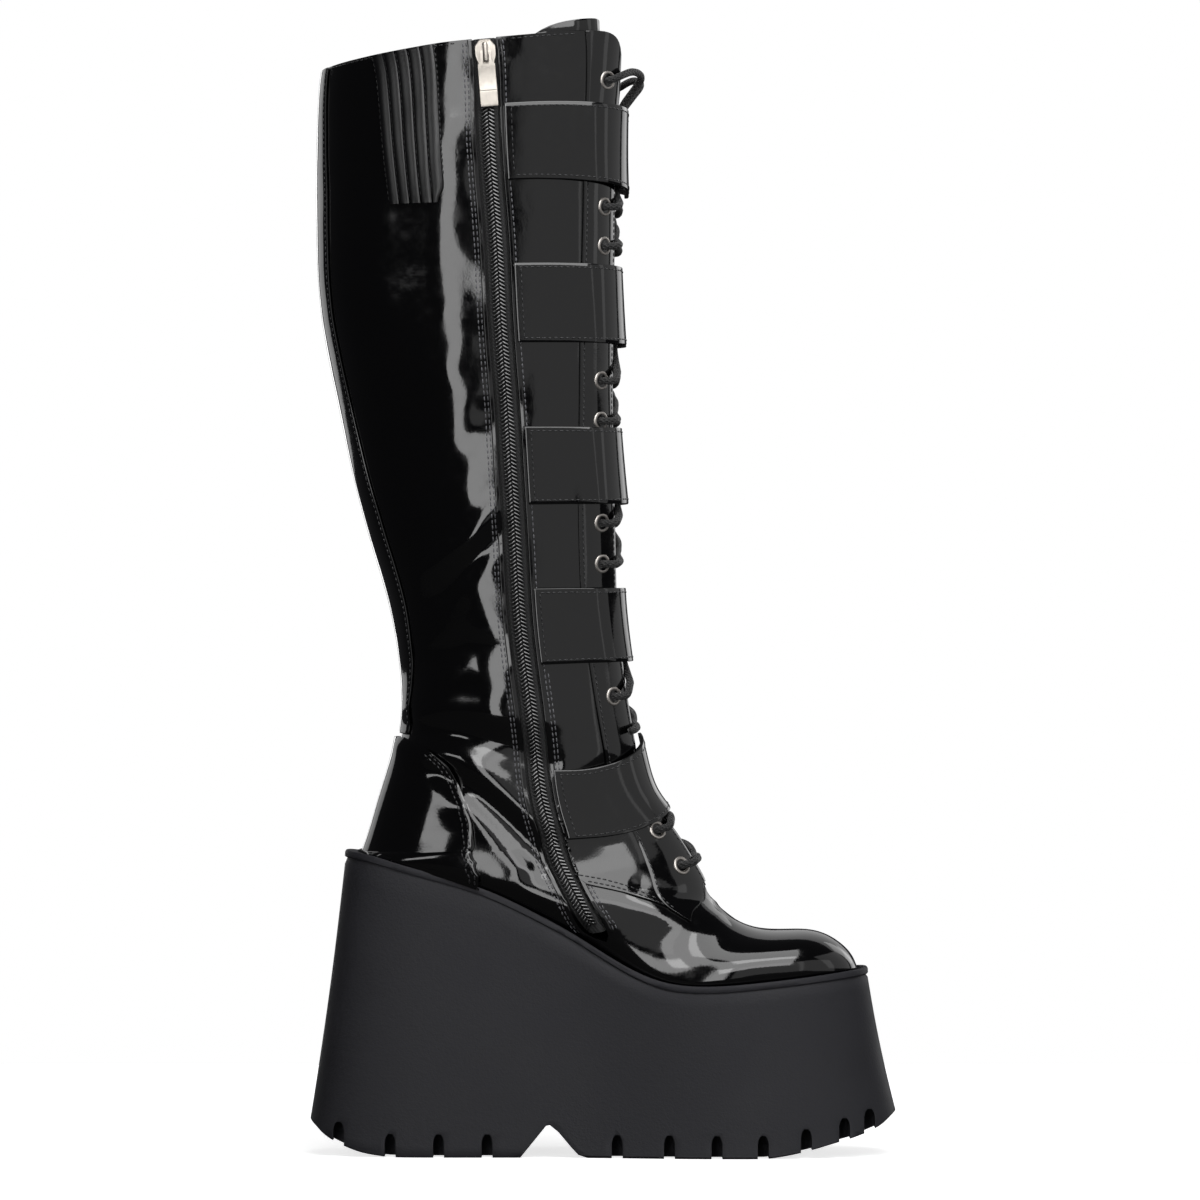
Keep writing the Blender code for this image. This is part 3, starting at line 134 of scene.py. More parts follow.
# Ankle and foot sections: front and back as shares of LAST_LENGTH from the heel, heel as a share of the
# drop from heel to ball, rise as a share of INSTEP_RISE, back_rise above the heel seat likewise
FOOT_ROWS = (
    # station, front, heel, rise, back, back_rise, width, widest, squareness
    (11, 0.559, 1.00, 0.973, 0.065, 0.950, 0.776, 0.52, 2.9),
    (12, 0.579, 0.95, 0.705, 0.041, 0.581, 0.766, 0.54, 2.7),
    (13, 0.611, 0.85, 0.594, 0.017, 0.212, 0.766, 0.56, 2.6),
    (14, 0.648, 0.70, 0.542, 0.000, 0.000, 0.776, 0.58, 2.5),
    (15, 0.673, 0.55, 0.537, 0.039, 0.000, 0.787, 0.60, 2.45),
    (16, 0.694, 0.42, 0.515, 0.130, 0.000, 0.809, 0.64, 2.4),
    (17, 0.710, 0.30, 0.473, 0.253, 0.000, 0.840, 0.68, 2.4),
    (18, 0.725, 0.20, 0.483, 0.395, 0.000, 0.883, 0.72, 2.4),
    (19, 0.7515, 0.10, 0.510, 0.538, 0.000, 0.947, 0.75, 2.4),
    (20, 0.786, 0.00, 0.563, 0.660, 0.000, 0.989, 0.77, 2.4),
    (21, 0.823, 0.00, 0.537, 0.758, 0.000, 1.000, 0.78, 2.4),
    (22, 0.864, 0.00, 0.537, 0.833, 0.000, 0.968, 0.79, 2.4),
    (23, 0.904, 0.00, 0.531, 0.894, 0.000, 0.883, 0.80, 2.4),
    (24, 0.941, 0.00, 0.481, 0.941, 0.000, 0.734, 0.80, 2.4),
    (25, 0.9715, 0.00, 0.389, 0.973, 0.000, 0.543, 0.80, 2.4),
    (26, 0.990, 0.00, 0.292, 0.991, 0.000, 0.330, 0.80, 2.4),
    (27, 1.000, 0.00, 0.190, 1.000, 0.000, 0.000, 0.80, 2.4),
)
BACK_SQUARENESS = 2.05
FEATHER_BULGE = 1.05
STATION_HEEL = 14
STATION_TOE = 27
STATION_BULGE_FROM = 17
STATION_BULGE_TO = 20

# Top of the sole along the last: heel is a share of the drop from heel to ball, toe a share of TOE_LIFT
SEAT_ROWS = (
    # along, heel, toe
    (-0.060, 1.035, 0.00),
    (0.000, 1.000, 0.00),
    (0.063, 0.931, 0.00),
    (0.247, 0.724, 0.00),
    (0.350, 0.541, 0.00),
    (0.430, 0.376, 0.00),
    (0.509, 0.190, 0.00),
    (0.558, 0.092, 0.00),
    (0.606, 0.027, 0.00),
    (0.652, 0.000, 0.00),
    (0.749, 0.000, 0.05),
    (0.829, 0.000, 0.30),
    (0.910, 0.000, 0.61),
    (1.000, 0.000, 1.00),
    (1.060, 0.000, 1.25),
)

# Feather outline: half widths as shares of BALL_WIDTH, before the ends are rounded off
OUTLINE_ROWS = (
    # along, inner, outer
    (0.00, 0.350, 0.350),
    (0.15, 0.345, 0.350),
    (0.30, 0.325, 0.375),
    (0.45, 0.340, 0.420),
    (0.60, 0.415, 0.470),
    (0.72, 0.465, 0.505),
    (0.82, 0.475, 0.500),
    (0.92, 0.475, 0.465),
    (1.00, 0.475, 0.430),
)
HEEL_ROUNDNESS = 3.6
TOE_ROUNDNESS = 3.1

# Tread line: tuck is a share of HEEL_TUCK, spring a share of TOE_SPRING, along the sole's own length
TREAD_ROWS = (
    # along, tuck, spring
    (0.000, 1.00, 0.00),
    (0.020, 0.60, 0.00),
    (0.052, 0.31, 0.00),
    (0.084, 0.12, 0.00),
    (0.123, 0.02, 0.00),
    (0.150, 0.00, 0.00),
    (0.784, 0.00, 0.00),
    (0.827, 0.00, 0.09),
    (0.862, 0.00, 0.20),
    (0.896, 0.00, 0.33),
    (0.930, 0.00, 0.45),
    (0.960, 0.00, 0.60),
    (0.981, 0.00, 0.74),
    (1.000, 0.00, 1.00),
)

# Lug gaps, and the corners of the notch between heel and forefoot, along the sole's own length
LUG_PLACES = (0.052, 0.140, 0.222, 0.304, 0.524, 0.612, 0.692, 0.770, 0.843, 0.908, 0.951)
NOTCH_ROWS = (
    # along, height as a share of ARCH_HEIGHT
    (0.350, -0.40),
    (0.360, 0.00),
    (0.404, 0.98),
    (0.410, 1.00),
    (0.425, 0.78),
    (0.446, 0.33),
    (0.458, 0.10),
    (0.474, 0.00),
    (0.482, -0.40),
)

# Throat: half width as a share of THROAT_WIDTH / 2
THROAT_ROWS = (
    (0.0, 1.03),
    (1.0, 1.04),
    (2.0, 1.00),
    (4.0, 0.98),
    (5.4, 0.95),
    (7.4, 0.82),
    (9.8, 0.60),
    (11.5, 0.50),
    (13.6, 0.41),
    (15.5, 0.38),
    (17.4, 0.34),
    (27.0, 0.30),
)
STATION_THROAT_ROUND = 16.5
STATION_THROAT_END = 17.4
TONGUE_TOP_REACH = 0.31
TONGUE_WIDENS = 2.5
CORNER_STATIONS = 1.1
CORNER_REACH = 0.016

# Places along a section, as the share from its front point to its back point
ZIP_ROWS = (
    (0.0, 0.468),
    (1.6, 0.433),
    (2.9, 0.401),
    (4.4, 0.390),
    (5.9, 0.397),
    (7.2, 0.421),
    (8.4, 0.444),
    (10.0, 0.438),
    (11.3, 0.424),
    (12.4, 0.409),
    (13.6, 0.404),
    (14.6, 0.425),
    (15.8, 0.490),
    (16.8, 0.590),
    (17.7, 0.735),
    (18.3, 0.850),
    (19.6, 0.830),
    (22.0, 0.700),
    (27.0, 0.600),
)
STATION_ZIP_END = 18.35
STATION_ZIP_TAPER = 17.9
EYESTAY_ROWS = (
    (0.0, 0.138),
    (1.4, 0.118),
    (2.5, 0.111),
    (3.8, 0.118),
    (5.3, 0.132),
    (7.3, 0.162),
    (9.8, 0.156),
    (11.5, 0.146),
    (13.2, 0.143),
    (14.6, 0.160),
    (15.8, 0.195),
    (16.8, 0.241),
    (17.6, 0.262),
    (18.35, 0.262),
)
EYESTAY_FRONT_ROWS = (
    (16.2, 0.026),
    (16.9, 0.048),
    (17.4, 0.090),
    (17.9, 0.180),
    (18.35, 0.262),
)
COUNTER_ROWS = (
    (10.60, 0.955),
    (10.90, 0.850),
    (11.33, 0.775),
    (11.80, 0.720),
    (12.26, 0.682),
    (12.83, 0.661),
    (13.74, 0.655),
    (15.00, 0.702),
    (15.90, 0.800),
    (16.30, 0.868),
    (16.80, 1.000),
)
STATION_COUNTER_SIDE = 15.3
BACKSTAY_ROWS = (
    (0.0, 0.975),
    (1.5, 0.971),
    (3.0, 0.962),
    (5.0, 0.958),
    (6.4, 0.938),
    (8.3, 0.936),
    (9.7, 0.960),
    (10.5, 0.966),
)
GUSSET_FRONT_ROWS = ((0.06, 0.632), (2.53, 0.567))
GUSSET_BACK_ROWS = ((0.06, 0.832), (2.53, 0.752))

EYELET_STATIONS = (1.03, 2.62, 3.12, 4.78, 5.32, 6.76, 7.38, 9.72, 13.61, 15.40)

# Straps: stations of the top and bottom edges beside the zip and at the front, then the lift of each edge's
# inside at the front and at the corners beside it
STRAP_ROWS = (
    # side_top, side_bottom, front_top, front_bottom, top_lift, bottom_lift, top_corner, bottom_corner
    (1.34, 2.26, 1.50, 2.46, 0.0006, 0.0038, 0.0033, 0.0052),
    (3.33, 4.31, 3.41, 4.32, -0.0008, 0.0032, 0.0032, 0.0050),
    (5.40, 6.49, 5.42, 6.48, -0.0006, 0.0034, 0.0032, 0.0050),
    (7.77, 9.09, 7.80, 9.12, 0.0008, 0.0014, 0.0030, 0.0040),
    (11.40, 13.70, 10.52, 12.80, 0.0006, 0.0014, 0.0030, 0.0040),
)

# Lace: each crossing runs up from the lower station to the upper one, on both sides
LACE_ROWS = (
    # lower, upper
    (2.62, 1.80),
    (3.12, 2.70),
    (4.78, 3.24),
    (5.32, 4.86),
    (6.76, 5.44),
    (7.38, 6.84),
    (9.72, 7.50),
    (10.46, 9.86),
    (13.61, 11.20),
    (15.40, 13.75),
)

# A lace end leaves the top eyelet, loops forward and hangs down behind the top strap
LACE_END_ROWS = (
    # station, half width as a share of THROAT_WIDTH / 2, lift in lace diameters
    (1.02, 1.19, 1.42),
    (0.98, 1.11, 1.55),
    (0.95, 1.02, 1.80),
    (0.95, 0.91, 2.15),
    (0.99, 0.80, 2.45),
    (1.07, 0.73, 2.30),
    (1.16, 0.69, 1.75),
    (1.26, 0.66, 1.10),
    (1.36, 0.64, 0.45),
    (1.46, 0.62, 0.02),
    (1.56, 0.60, -0.12),
    (1.66, 0.58, -0.12),
)

HEEL_X = HEEL_FLARE - (LAST_LENGTH + HEEL_FLARE + TOE_FLARE) / 2
INNER, OUTER = -1, 1
SIDES = (("inner", INNER), ("outer", OUTER))

# Sizes that only the looks have: plies, edges and distances in metres
PLY = 0.0009
FINE_EDGE, SOFT_EDGE, COUNTER_EDGE, TONGUE_EDGE = 0.0003, 0.0004, 0.0005, 0.0007
WELT, WELT_LIFT = 0.0024, 0.0010
QUARTER_LIFT = 0.0011
QUARTER_TOP = 12.4
FACING_SHARE = 0.262
COUNTER_CLEAR, COUNTER_LOWEST = 0.0035, 0.0032
RIB_COLUMNS = 14
TAPE_BESIDE, TAPE_DIP, COIL_SEAT = 0.0016, 0.0026, 0.0002
COIL_PITCH = 0.00185
COIL_TURN, COIL_ROUND = (0.0037, 0.00112, 0.0016), 0.0005
COIL_LEAN = math.radians(33)
COIL_SPREAD, COIL_STAGGER, COIL_LIFT = 0.00155, 0.0003, 0.0008
BAIL_SUNK, BAIL_LEG = 0.0006, 0.0016
PULL_LINE = 0.0184
LACE_IN_HOLE = 0.0016
BRAID_REPEAT = 0.0022
STITCH_PITCH, STITCH_LENGTH, STITCH_RADIUS = 0.0028, 0.0022, 0.0004
ZIP_STITCHES = (0.0030, 0.0046)
FACING_STITCH, THROAT_STITCH, STAY_STITCH = 0.0018, 0.0020, 0.0013
COUNTER_STITCHES = (0.0018, 0.0042)
QUARTER_STITCHES = (0.25, 0.62)
COLLAR_STITCH = 0.12
TREAD_EASE = 0.012
SLOT_BELOW = 0.008
WELD = 3e-5

# Rows of a fine grid: up to this station, this many for each station
ROWS_PER_STATION = ((10, 16), (14, 12), (STATION_TOE, 8))
FRONT_SPAN, BACK_SPAN = 18, 44
OUTLINE_STATIONS = 80

# The double-stitched seam between the quarter and the vamp
SEAM_ROWS = (
    # share of the section, station
    (0.262, 17.62),
    (0.300, 17.20),
    (0.317, 17.05),
    (0.378, 16.69),
    (0.462, 16.37),
    (0.600, 15.85),
    (0.800, 15.30),
    (0.950, 14.90),
)

# The lace on the facing, before it drops off the facing's edge
LACE_ON_FACING_ROWS = (
    # distance from the edge, lift
    (0.0076, 0.0050),
    (0.0050, 0.0052),
    (0.0022, 0.0042),
    (-0.0006, 0.0030),
)

# The sole's side: share of the way up from the tread to the rim's band, and how far inwards
SIDE_ROWS = ((0.0, 0.0020), (0.004, 0.0008), (0.012, 0.0002))
SIDE_TOP = (0.992, 0.0009)
SIDE_SWELL = 0.0009
# The rim's band: share of the way up it, and how far inwards
BAND_ROWS = ((0.02, 0.0011), (0.05, 0.0002), (0.2, -0.0002), (0.75, -0.0001), (0.95, 0.0003), (1.0, 0.0010))
# A slot between lugs: across as a share of half of LUG_GAP, up as a share of LUG_HEIGHT
SLOT_ROWS = ((1, 0.66), (0.8, 0.86), (0.4, 1), (-0.4, 1), (-0.8, 0.86), (-1, 0.66))

# Folds of the leather in millimetres: height (below zero for a trough), half width, then points (x, z)
FOLDS = (
    (1.1, 7.5, (-88, 214), (-60, 213), (-30, 208)),
    (-1.5, 6.0, (-94, 203), (-68, 201), (-44, 195), (-26, 186)),
    (1.8, 7.2, (-92, 194), (-70, 189), (-48, 176), (-28, 158)),
    (-1.6, 5.6, (-76, 183), (-60, 173), (-44, 156), (-28, 138)),
    (1.2, 6.4, (-66, 166), (-52, 153), (-40, 138)),
    (-1.2, 4.6, (-78, 268), (-62, 283), (-48, 298)),
    (1.1, 5.5, (-80, 281), (-63, 295), (-50, 309)),
    (-0.7, 6.0, (-86, 236), (-66, 244), (-50, 240)),
    (0.7, 6.0, (-80, 224), (-62, 229), (-44, 226)),
    (-0.8, 4.5, (-10, 178), (4, 186), (18, 190)),
    (0.8, 5.0, (-8, 168), (6, 176), (20, 181)),
    (-0.6, 8.0, (-72, 330), (-60, 345), (-48, 352)),
    (0.6, 9.0, (-76, 372), (-62, 366), (-50, 372)),
    (-0.9, 5.0, (18, 128), (34, 122), (52, 124)),
    (0.8, 5.5, (22, 117), (38, 112), (56, 114)),
)


def both(first, second):
    """Two values as arrays of one shape."""
    return np.broadcast_arrays(np.asarray(first, float), np.asarray(second, float))


def spline(rows, column=1):
    """A natural cubic spline through one column of a table, over its first column."""
    xs = np.array([row[0] for row in rows], float)
    ys = np.array([row[column] for row in rows], float)
    last = len(xs) - 1
    h = np.diff(xs)
    a = np.eye(last + 1)
    r = np.zeros(last + 1)
    for i in range(1, last):
        a[i, i - 1 : i + 2] = h[i - 1], 2 * (h[i - 1] + h[i]), h[i]
        r[i] = 6 * ((ys[i + 1] - ys[i]) / h[i] - (ys[i] - ys[i - 1]) / h[i - 1])
    m = np.linalg.solve(a, r)

    def at(t):
        t = np.asarray(t, float)
        k = np.clip(np.searchsorted(xs, t, side="right") - 1, 0, last - 1)
        d = t - xs[k]
        slope = (ys[k + 1] - ys[k]) / h[k] - h[k] * (2 * m[k] + m[k + 1]) / 6
        return ys[k] + d * (slope + d * (m[k] / 2 + d * (m[k + 1] - m[k]) / (6 * h[k])))

    return at


def line(rows, column=1):
    """Straight runs through one column of a table, over its first column."""
    xs = [row[0] for row in rows]
    ys = [row[column] for row in rows]
    return lambda t: np.interp(t, xs, ys)


def smooth(t):
    """0 to 1 with level ends."""
    t = np.clip(t, 0, 1)
    return t * t * (3 - 2 * t)


# The seat, which is the top of the sole, and the outlines that follow the feather line
seat_heel, seat_toe = spline(SEAT_ROWS, 1), spline(SEAT_ROWS, 2)
outline = {INNER: spline(OUTLINE_ROWS, 1), OUTER: spline(OUTLINE_ROWS, 2)}


def seat_z(x):
    """Height of the seat at x."""
    s = (x - HEEL_X) / LAST_LENGTH
    return BALL_HEIGHT + seat_heel(s) * (HEEL_HEIGHT - BALL_HEIGHT) + seat_toe(s) * TOE_LIFT


def half_width(s, side, grow=0.0):
    """Half width of the feather outline at share s of its length, grown sideways by grow."""
    s = np.clip(s, 0, 1)
    roundness = np.where(s < 0.5, HEEL_ROUNDNESS, TOE_ROUNDNESS)
    closing = np.clip(1 - np.abs(2 * s - 1) ** roundness, 0, 1) ** (1 / roundness)
    return (outline[side](s) * BALL_WIDTH + grow) * closing


def section_tables():
    """Splines over the station for the front point, back point, half width and shape of the sections."""
    ankle, calf = (ANKLE_DEPTH, ANKLE_WIDTH), (CALF_DEPTH, CALF_WIDTH)
    drop = HEEL_HEIGHT - BALL_HEIGHT
    seat_at_heel = float(seat_z(HEEL_X)) + SEAT_GAP
    front, back, shape = [], [], []
    for station, height, ahead, deep, girth, tilt, widest, squareness in LEG_ROWS:
        x = HEEL_X + ahead * LAST_LENGTH
        z = HEEL_HEIGHT + height * SHAFT_HEIGHT
        depth = ankle[0] + deep * (calf[0] - ankle[0])
        width = ankle[1] + girth * (calf[1] - ankle[1])
        front.append((station, x, z))
        back.append((station, x - depth, z + tilt * SHAFT_HEIGHT))
        shape.append((station, width / 2, widest, squareness))
    for station, ahead, lift, rise, behind, back_rise, width, widest, squareness in FOOT_ROWS:
        z = BALL_HEIGHT + lift * drop + rise * INSTEP_RISE
        front.append((station, HEEL_X + ahead * LAST_LENGTH, z))
        back.append((station, HEEL_X + behind * LAST_LENGTH, seat_at_heel + back_rise * INSTEP_RISE))
        shape.append((station, width * BALL_WIDTH / 2, widest, squareness))
    above = [row for row in back if row[0] <= STATION_HEEL]
    below = [row for row in back if row[0] >= STATION_HEEL]
    return {
        "front_x": spline(front, 1),
        "front_z": spline(front, 2),
        "heel_x": spline(above, 1),
        "heel_z": spline(above, 2),
        "seat_x": spline(below, 1),
        "width": spline(shape, 1),
        "widest": spline(shape, 2),
        "squareness": spline(shape, 3),
    }


last = section_tables()


def section(u, side):
    """The section at station u: front and back points, half width, shape, and where its turn ends."""
    u = np.asarray(u, float)
    is_open = u > STATION_HEEL
    x = np.where(
        is_open, last["seat_x"](np.maximum(u, STATION_HEEL)), last["heel_x"](np.minimum(u, STATION_HEEL))
    )
    z = np.where(is_open, seat_z(x) + SEAT_GAP, last["heel_z"](np.minimum(u, STATION_HEEL)))
    feather = np.where(is_open, half_width((x - HEEL_X) / LAST_LENGTH, side), 0.0)
    follow = smooth((u - STATION_BULGE_FROM) / (STATION_BULGE_TO - STATION_BULGE_FROM))
    width = last["width"](u) * (1 - follow) + feather * FEATHER_BULGE * follow
    width = np.maximum(width, feather * FEATHER_BULGE)
    reach = np.where(width > 1e-9, feather / np.maximum(width, 1e-9), 1 / FEATHER_BULGE)
    end_cos = -((1 - np.clip(reach, 0, 1) ** BACK_SQUARENESS) ** (1 / BACK_SQUARENESS))
    return {
        "front": (last["front_x"](u), last["front_z"](u)),
        "back": (x, z),
        "width": width,
        "widest": last["widest"](u),
        "squareness": last["squareness"](u),
        "end_cos": end_cos,
        "end_turn": np.arctan2(reach, end_cos),
    }


def turned(sec, turn):
    """The share along and across a section at an angle of turn, 0 at the front point."""
    c, s = np.cos(turn), np.sin(turn)
    p = BACK_SQUARENESS + (sec["squareness"] - BACK_SQUARENESS) * smooth(c + 0.5)
    r = (np.abs(c) ** p + np.abs(s) ** p + 1e-12) ** (-1 / p)
    c, s = c * r, s * r
    behind = (1 - sec["widest"]) / np.maximum(-sec["end_cos"], 1e-6)
    along = np.where(c >= 0, sec["widest"] * (1 - c), sec["widest"] - behind * c)
    return along, s


def surface(u, turn, side):
    """Points of the last's outside at stations u and angles of turn."""
    u, turn = both(u, turn)
    sec = section(u, side)
    along, across = turned(sec, np.abs(turn))
    fx, fz = sec["front"]
    bx, bz = sec["back"]
    crown = COLLAR_CROWN * across**2 * smooth(1 - u / 1.5)
    flip = np.where(turn < 0, -side, side)
    return np.stack(
        [fx + along * (bx - fx), flip * across * sec["width"], fz + along * (bz - fz) + crown], -1
    )


def raised(u, turn, side, lift):
    """The surface moved out by lift along its normal. A negative lift moves it inwards."""
    u, turn = both(u, turn)
    step = 1e-3
    du = surface(u + step, turn, side) - surface(u - step, turn, side)
    inside = np.where(u > STATION_HEEL, np.minimum(turn, section(u, side)["end_turn"] - step), turn)
    dt = surface(u, inside + step, side) - surface(u, inside - step, side)
    normal = np.cross(dt, du) * -side
    size = np.linalg.norm(normal, axis=-1, keepdims=True)
    normal = normal / np.maximum(size, 1e-12)
    centre = (np.abs(turn) < step) | ((u <= STATION_HEEL) & (turn > math.pi - step))
    normal[..., 1] = np.where(centre, 0.0, normal[..., 1])
    return surface(u, turn, side) + normal * np.asarray(lift, float)[..., None]


def halved(low, high, times, is_short):
    """The bounds of a value after halving them some times: is_short says that it lies further up."""
    for _ in range(times):
        middle = (low + high) / 2
        short = is_short(middle)
        low, high = np.where(short, middle, low), np.where(short, high, middle)
    return low, high


def turn_where(u, side, wanted, measure):
    """The angle of turn at which measure (0 along, 1 across) reaches wanted, for each station."""
    u, wanted = both(u, wanted)
    sec = section(u, side)
    high = np.where(measure == 1, math.pi / 2, sec["end_turn"]) * np.ones(u.shape)
    low, high = halved(np.zeros(u.shape), high, 40, lambda turn: turned(sec, turn)[measure] < wanted)
    return (low + high) / 2


def turn_above_seat(u, side, height):
    """The angle of turn, behind the section's middle, at which it comes down to a height above the seat."""
    high = section(u, side)["end_turn"] + 0 * u
    low = 0 * u + math.pi / 2
    end = surface(u, high, side)
    reaches = end[..., 2] - seat_z(end[..., 0]) >= height

    def is_above(turn):
        point = surface(u, turn, side)
        return point[..., 2] - seat_z(point[..., 0]) > height

    low, _ = halved(low, high, 30, is_above)
    return np.where(reaches, section(u, side)["end_turn"], low)


def turn_at_share(u, side, share):
    """The angle of turn at a share of the way from the front point to the back point."""
    full = section(u, side)["end_turn"]
    return np.where(np.asarray(share) >= 0.9999, full, turn_where(u, side, share, 0))


def turn_at_width(u, side, width):
    """The angle of turn at which the section's front half is width wide."""
    return turn_where(u, side, np.minimum(width / np.maximum(section(u, side)["width"], 1e-6), 0.99), 1)


def along_by(u, turn, side, distance):
    """The turn after a distance along the section from a turn."""
    step = 2e-3
    for _ in range(4):
        speed = np.linalg.norm(surface(u, turn + step, side) - surface(u, turn - step, side), axis=-1)
        turn = turn + distance / 4 * 2 * step / speed
    return turn


throat_share = spline(THROAT_ROWS)
zip_share = spline(ZIP_ROWS)


def throat_half(u):
    """Half width of the throat at station u, which closes in a round end."""
    t = (u - STATION_THROAT_ROUND) / (STATION_THROAT_END - STATION_THROAT_ROUND)
    closing = np.sqrt(np.clip(1 - np.clip(t, 0, 1) ** 2, 0, 1))
    return throat_share(u) * THROAT_WIDTH / 2 * closing


def throat_turn(u, side):
    """The angle of turn at the throat's edge, and 0 below the throat."""
    return np.where(u < STATION_THROAT_END, turn_at_width(u, side, throat_half(u)), 0.0)


def zip_half(u):
    """Half width of the slot that holds the zip, which tapers to nothing at its foot."""
    t = (u - STATION_ZIP_TAPER) / (STATION_ZIP_END - STATION_ZIP_TAPER)
    return (ZIP_WIDTH / 2 + GAP) * np.sqrt(np.clip(1 - np.clip(t, 0, 1) ** 2, 0, 1))


def zip_turns(u):
    """The angles of turn at the slot's front edge, middle and back edge."""
    middle = turn_at_share(u, INNER, zip_share(u))
    half = zip_half(u)
    return along_by(u, middle, INNER, -half), middle, along_by(u, middle, INNER, half)


def corner(turn, edge, u, side):
    """How many stations the collar drops at this turn, to round the throat's top corner."""
    reach = along_by(u, edge, side, CORNER_REACH) - edge
    t = np.clip((turn - edge) / reach, 0, 1)
    return CORNER_STATIONS * (1 - np.sqrt(np.clip(1 - (1 - t) ** 2, 0, 1)))


def collar_grid(stations, turns, edge, side):
    """Stations for each grid point, dropped at the throat's rounded top corner."""
    u = np.asarray(stations, float)[:, None] + 0 * turns
    drop = corner(turns[:1], edge[:1], u[:1], side)
    return u + drop * np.clip(1 - u / 2.0, 0, 1)




def folds(points, side):
    """How far creases and slack push the leather out, at points of the last."""
    x, z = points[..., 0] * 1000, points[..., 2] * 1000
    out = np.zeros(x.shape)
    shift, share = (0.0, 1.0) if side == INNER else (3.0, 0.8)
    for height, half, *spots in FOLDS:
        near = np.full(x.shape, 1e9)
        for (ax, az), (bx, bz) in zip(spots, spots[1:]):
            dx, dz = bx - ax, bz - az
            t = np.clip(((x - shift - ax) * dx + (z - az) * dz) / (dx * dx + dz * dz), 0, 1)
            near = np.minimum(near, np.hypot(x - shift - ax - t * dx, z - az - t * dz))
        out += height * share * np.exp(-((near / half) ** 2))
    slack = smooth((-20 - x) / 40) * smooth((z - 150) / 60)
    wave = np.sin(z / 6.1 + 1.7 * np.sin(x / 9.0)) * np.sin(x / 7.3 + 1.3 * np.sin(z / 14.0))
    out += wave * (0.04 + 0.07 * slack) + 0.34 * slack * np.sin(z / 15.0 + 1.2 * np.sin(x / 17.0))
    centre = smooth(np.abs(points[..., 1]) / 0.012)
    return out * centre / 1000


def skin(u, turn, side, lift):
    """Points on or over the creased leather."""
    u, turn = both(u, turn)
    return raised(u, turn, side, np.asarray(lift, float) + folds(surface(u, turn, side), side))


def rows_between(first, last_one, finer=1.0):
    """Stations of a fine grid's rows, about as far apart in millimetres everywhere."""
    rows, start = [], 0.0
    for stop, count in ROWS_PER_STATION:
        low, high = max(start, first), min(stop, last_one)
        if high > low:
            rows.append(np.linspace(low, high, max(int((high - low) * count * finer), 1) + 1))
        start = stop
    return np.unique(np.round(np.concatenate(rows), 6))


def deselect():
    """Leaves nothing selected, before the next primitive is added."""
    for obj in list(bpy.context.selected_objects):
        obj.select_set(False)


def pick(obj):
    """Makes an object the only one selected, and the active one."""
    deselect()
    obj.select_set(True)
    bpy.context.view_layer.objects.active = obj


def apply(obj, kind, **settings):
    """Adds a modifier and applies it."""
    pick(obj)
    modifier = obj.modifiers.new(kind.lower(), kind)
    for key, value in settings.items():
        setattr(modifier, key, value)
    bpy.ops.object.modifier_apply(modifier=modifier.name)


def edit(obj, *steps):
    """Runs operators on a whole mesh in edit mode: steps are (operator, settings)."""
    pick(obj)
    bpy.ops.object.mode_set(mode="EDIT")
    bpy.ops.mesh.select_all(action="SELECT")
    for operator, settings in steps:
        operator(**settings)
    bpy.ops.object.mode_set(mode="OBJECT")


def soften(obj, angle=40):
    """Smooth shading that keeps edges sharper than an angle in degrees."""
    pick(obj)
    bpy.ops.object.shade_smooth_by_angle(angle=math.radians(angle))


def cloth_grid(name, points):
    """A grid primitive laid onto points, rows by columns."""
    rows, columns = points.shape[:2]
    deselect()
    bpy.ops.mesh.primitive_grid_add(x_subdivisions=columns - 1, y_subdivisions=rows - 1, size=1)
    obj = bpy.context.object
    obj.name = obj.data.name = name
    obj.data.vertices.foreach_set("co", np.ascontiguousarray(points, np.float32).ravel())
    obj.data.update()
    return obj


def as_panel(points, side):
    """Columns in the order that makes the grid face outwards."""
    return points if side == INNER else points[:, ::-1]


def sew(name, grids, thickness, materials, edge=0.0, over=()):
    """Grids joined into one sheet with a thickness inwards and rounded edges.

    The materials are those of the face, the inside and the rim.
    """
    parts = [cloth_grid(name, grid) for grid in grids]
    pick(parts[0])
    for part in parts[1:]:
        part.select_set(True)
    if len(parts) > 1:
        bpy.ops.object.join()
    obj = parts[0]
    edit(
        obj,
        (bpy.ops.mesh.remove_doubles, {"threshold": WELD}),
        (bpy.ops.mesh.dissolve_degenerate, {"threshold": 1e-5}),
    )
    for material in materials:
        obj.data.materials.append(material)
    if thickness:
        inside, rim = min(1, len(materials) - 1), 2 if len(materials) > 2 else 0
        offsets = {"offset": -1, "material_offset": inside, "material_offset_rim": rim}
        apply(obj, "SOLIDIFY", thickness=thickness, **offsets)
    if edge:
        round_edges(obj, edge, 50)
    soften(obj)
    return finish(obj, over)


def finish(obj, over=(), body="boot"):
    """Puts a piece on its body, in place of the CAD nodes that it dresses."""
    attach(obj, body)
    if over:
        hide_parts(*over)
    return obj


def linked(name, data):
    """A new object in the scene."""
    obj = bpy.data.objects.new(name, data)
    bpy.context.scene.collection.objects.link(obj)
    return obj


def new_mesh(name, vertices, faces, material, uvs=None):
    """An object from numpy arrays, for what is repeated or swept along a line."""
    mesh = bpy.data.meshes.new(name)
    mesh.from_pydata(np.asarray(vertices, float).tolist(), [], faces)
    mesh.materials.append(material)
    if uvs is not None:
        layer = mesh.uv_layers.new(name="UVMap")
        layer.data.foreach_set("uv", np.asarray(uvs, np.float32).ravel())
    mesh.shade_smooth()
    return linked(name, mesh)


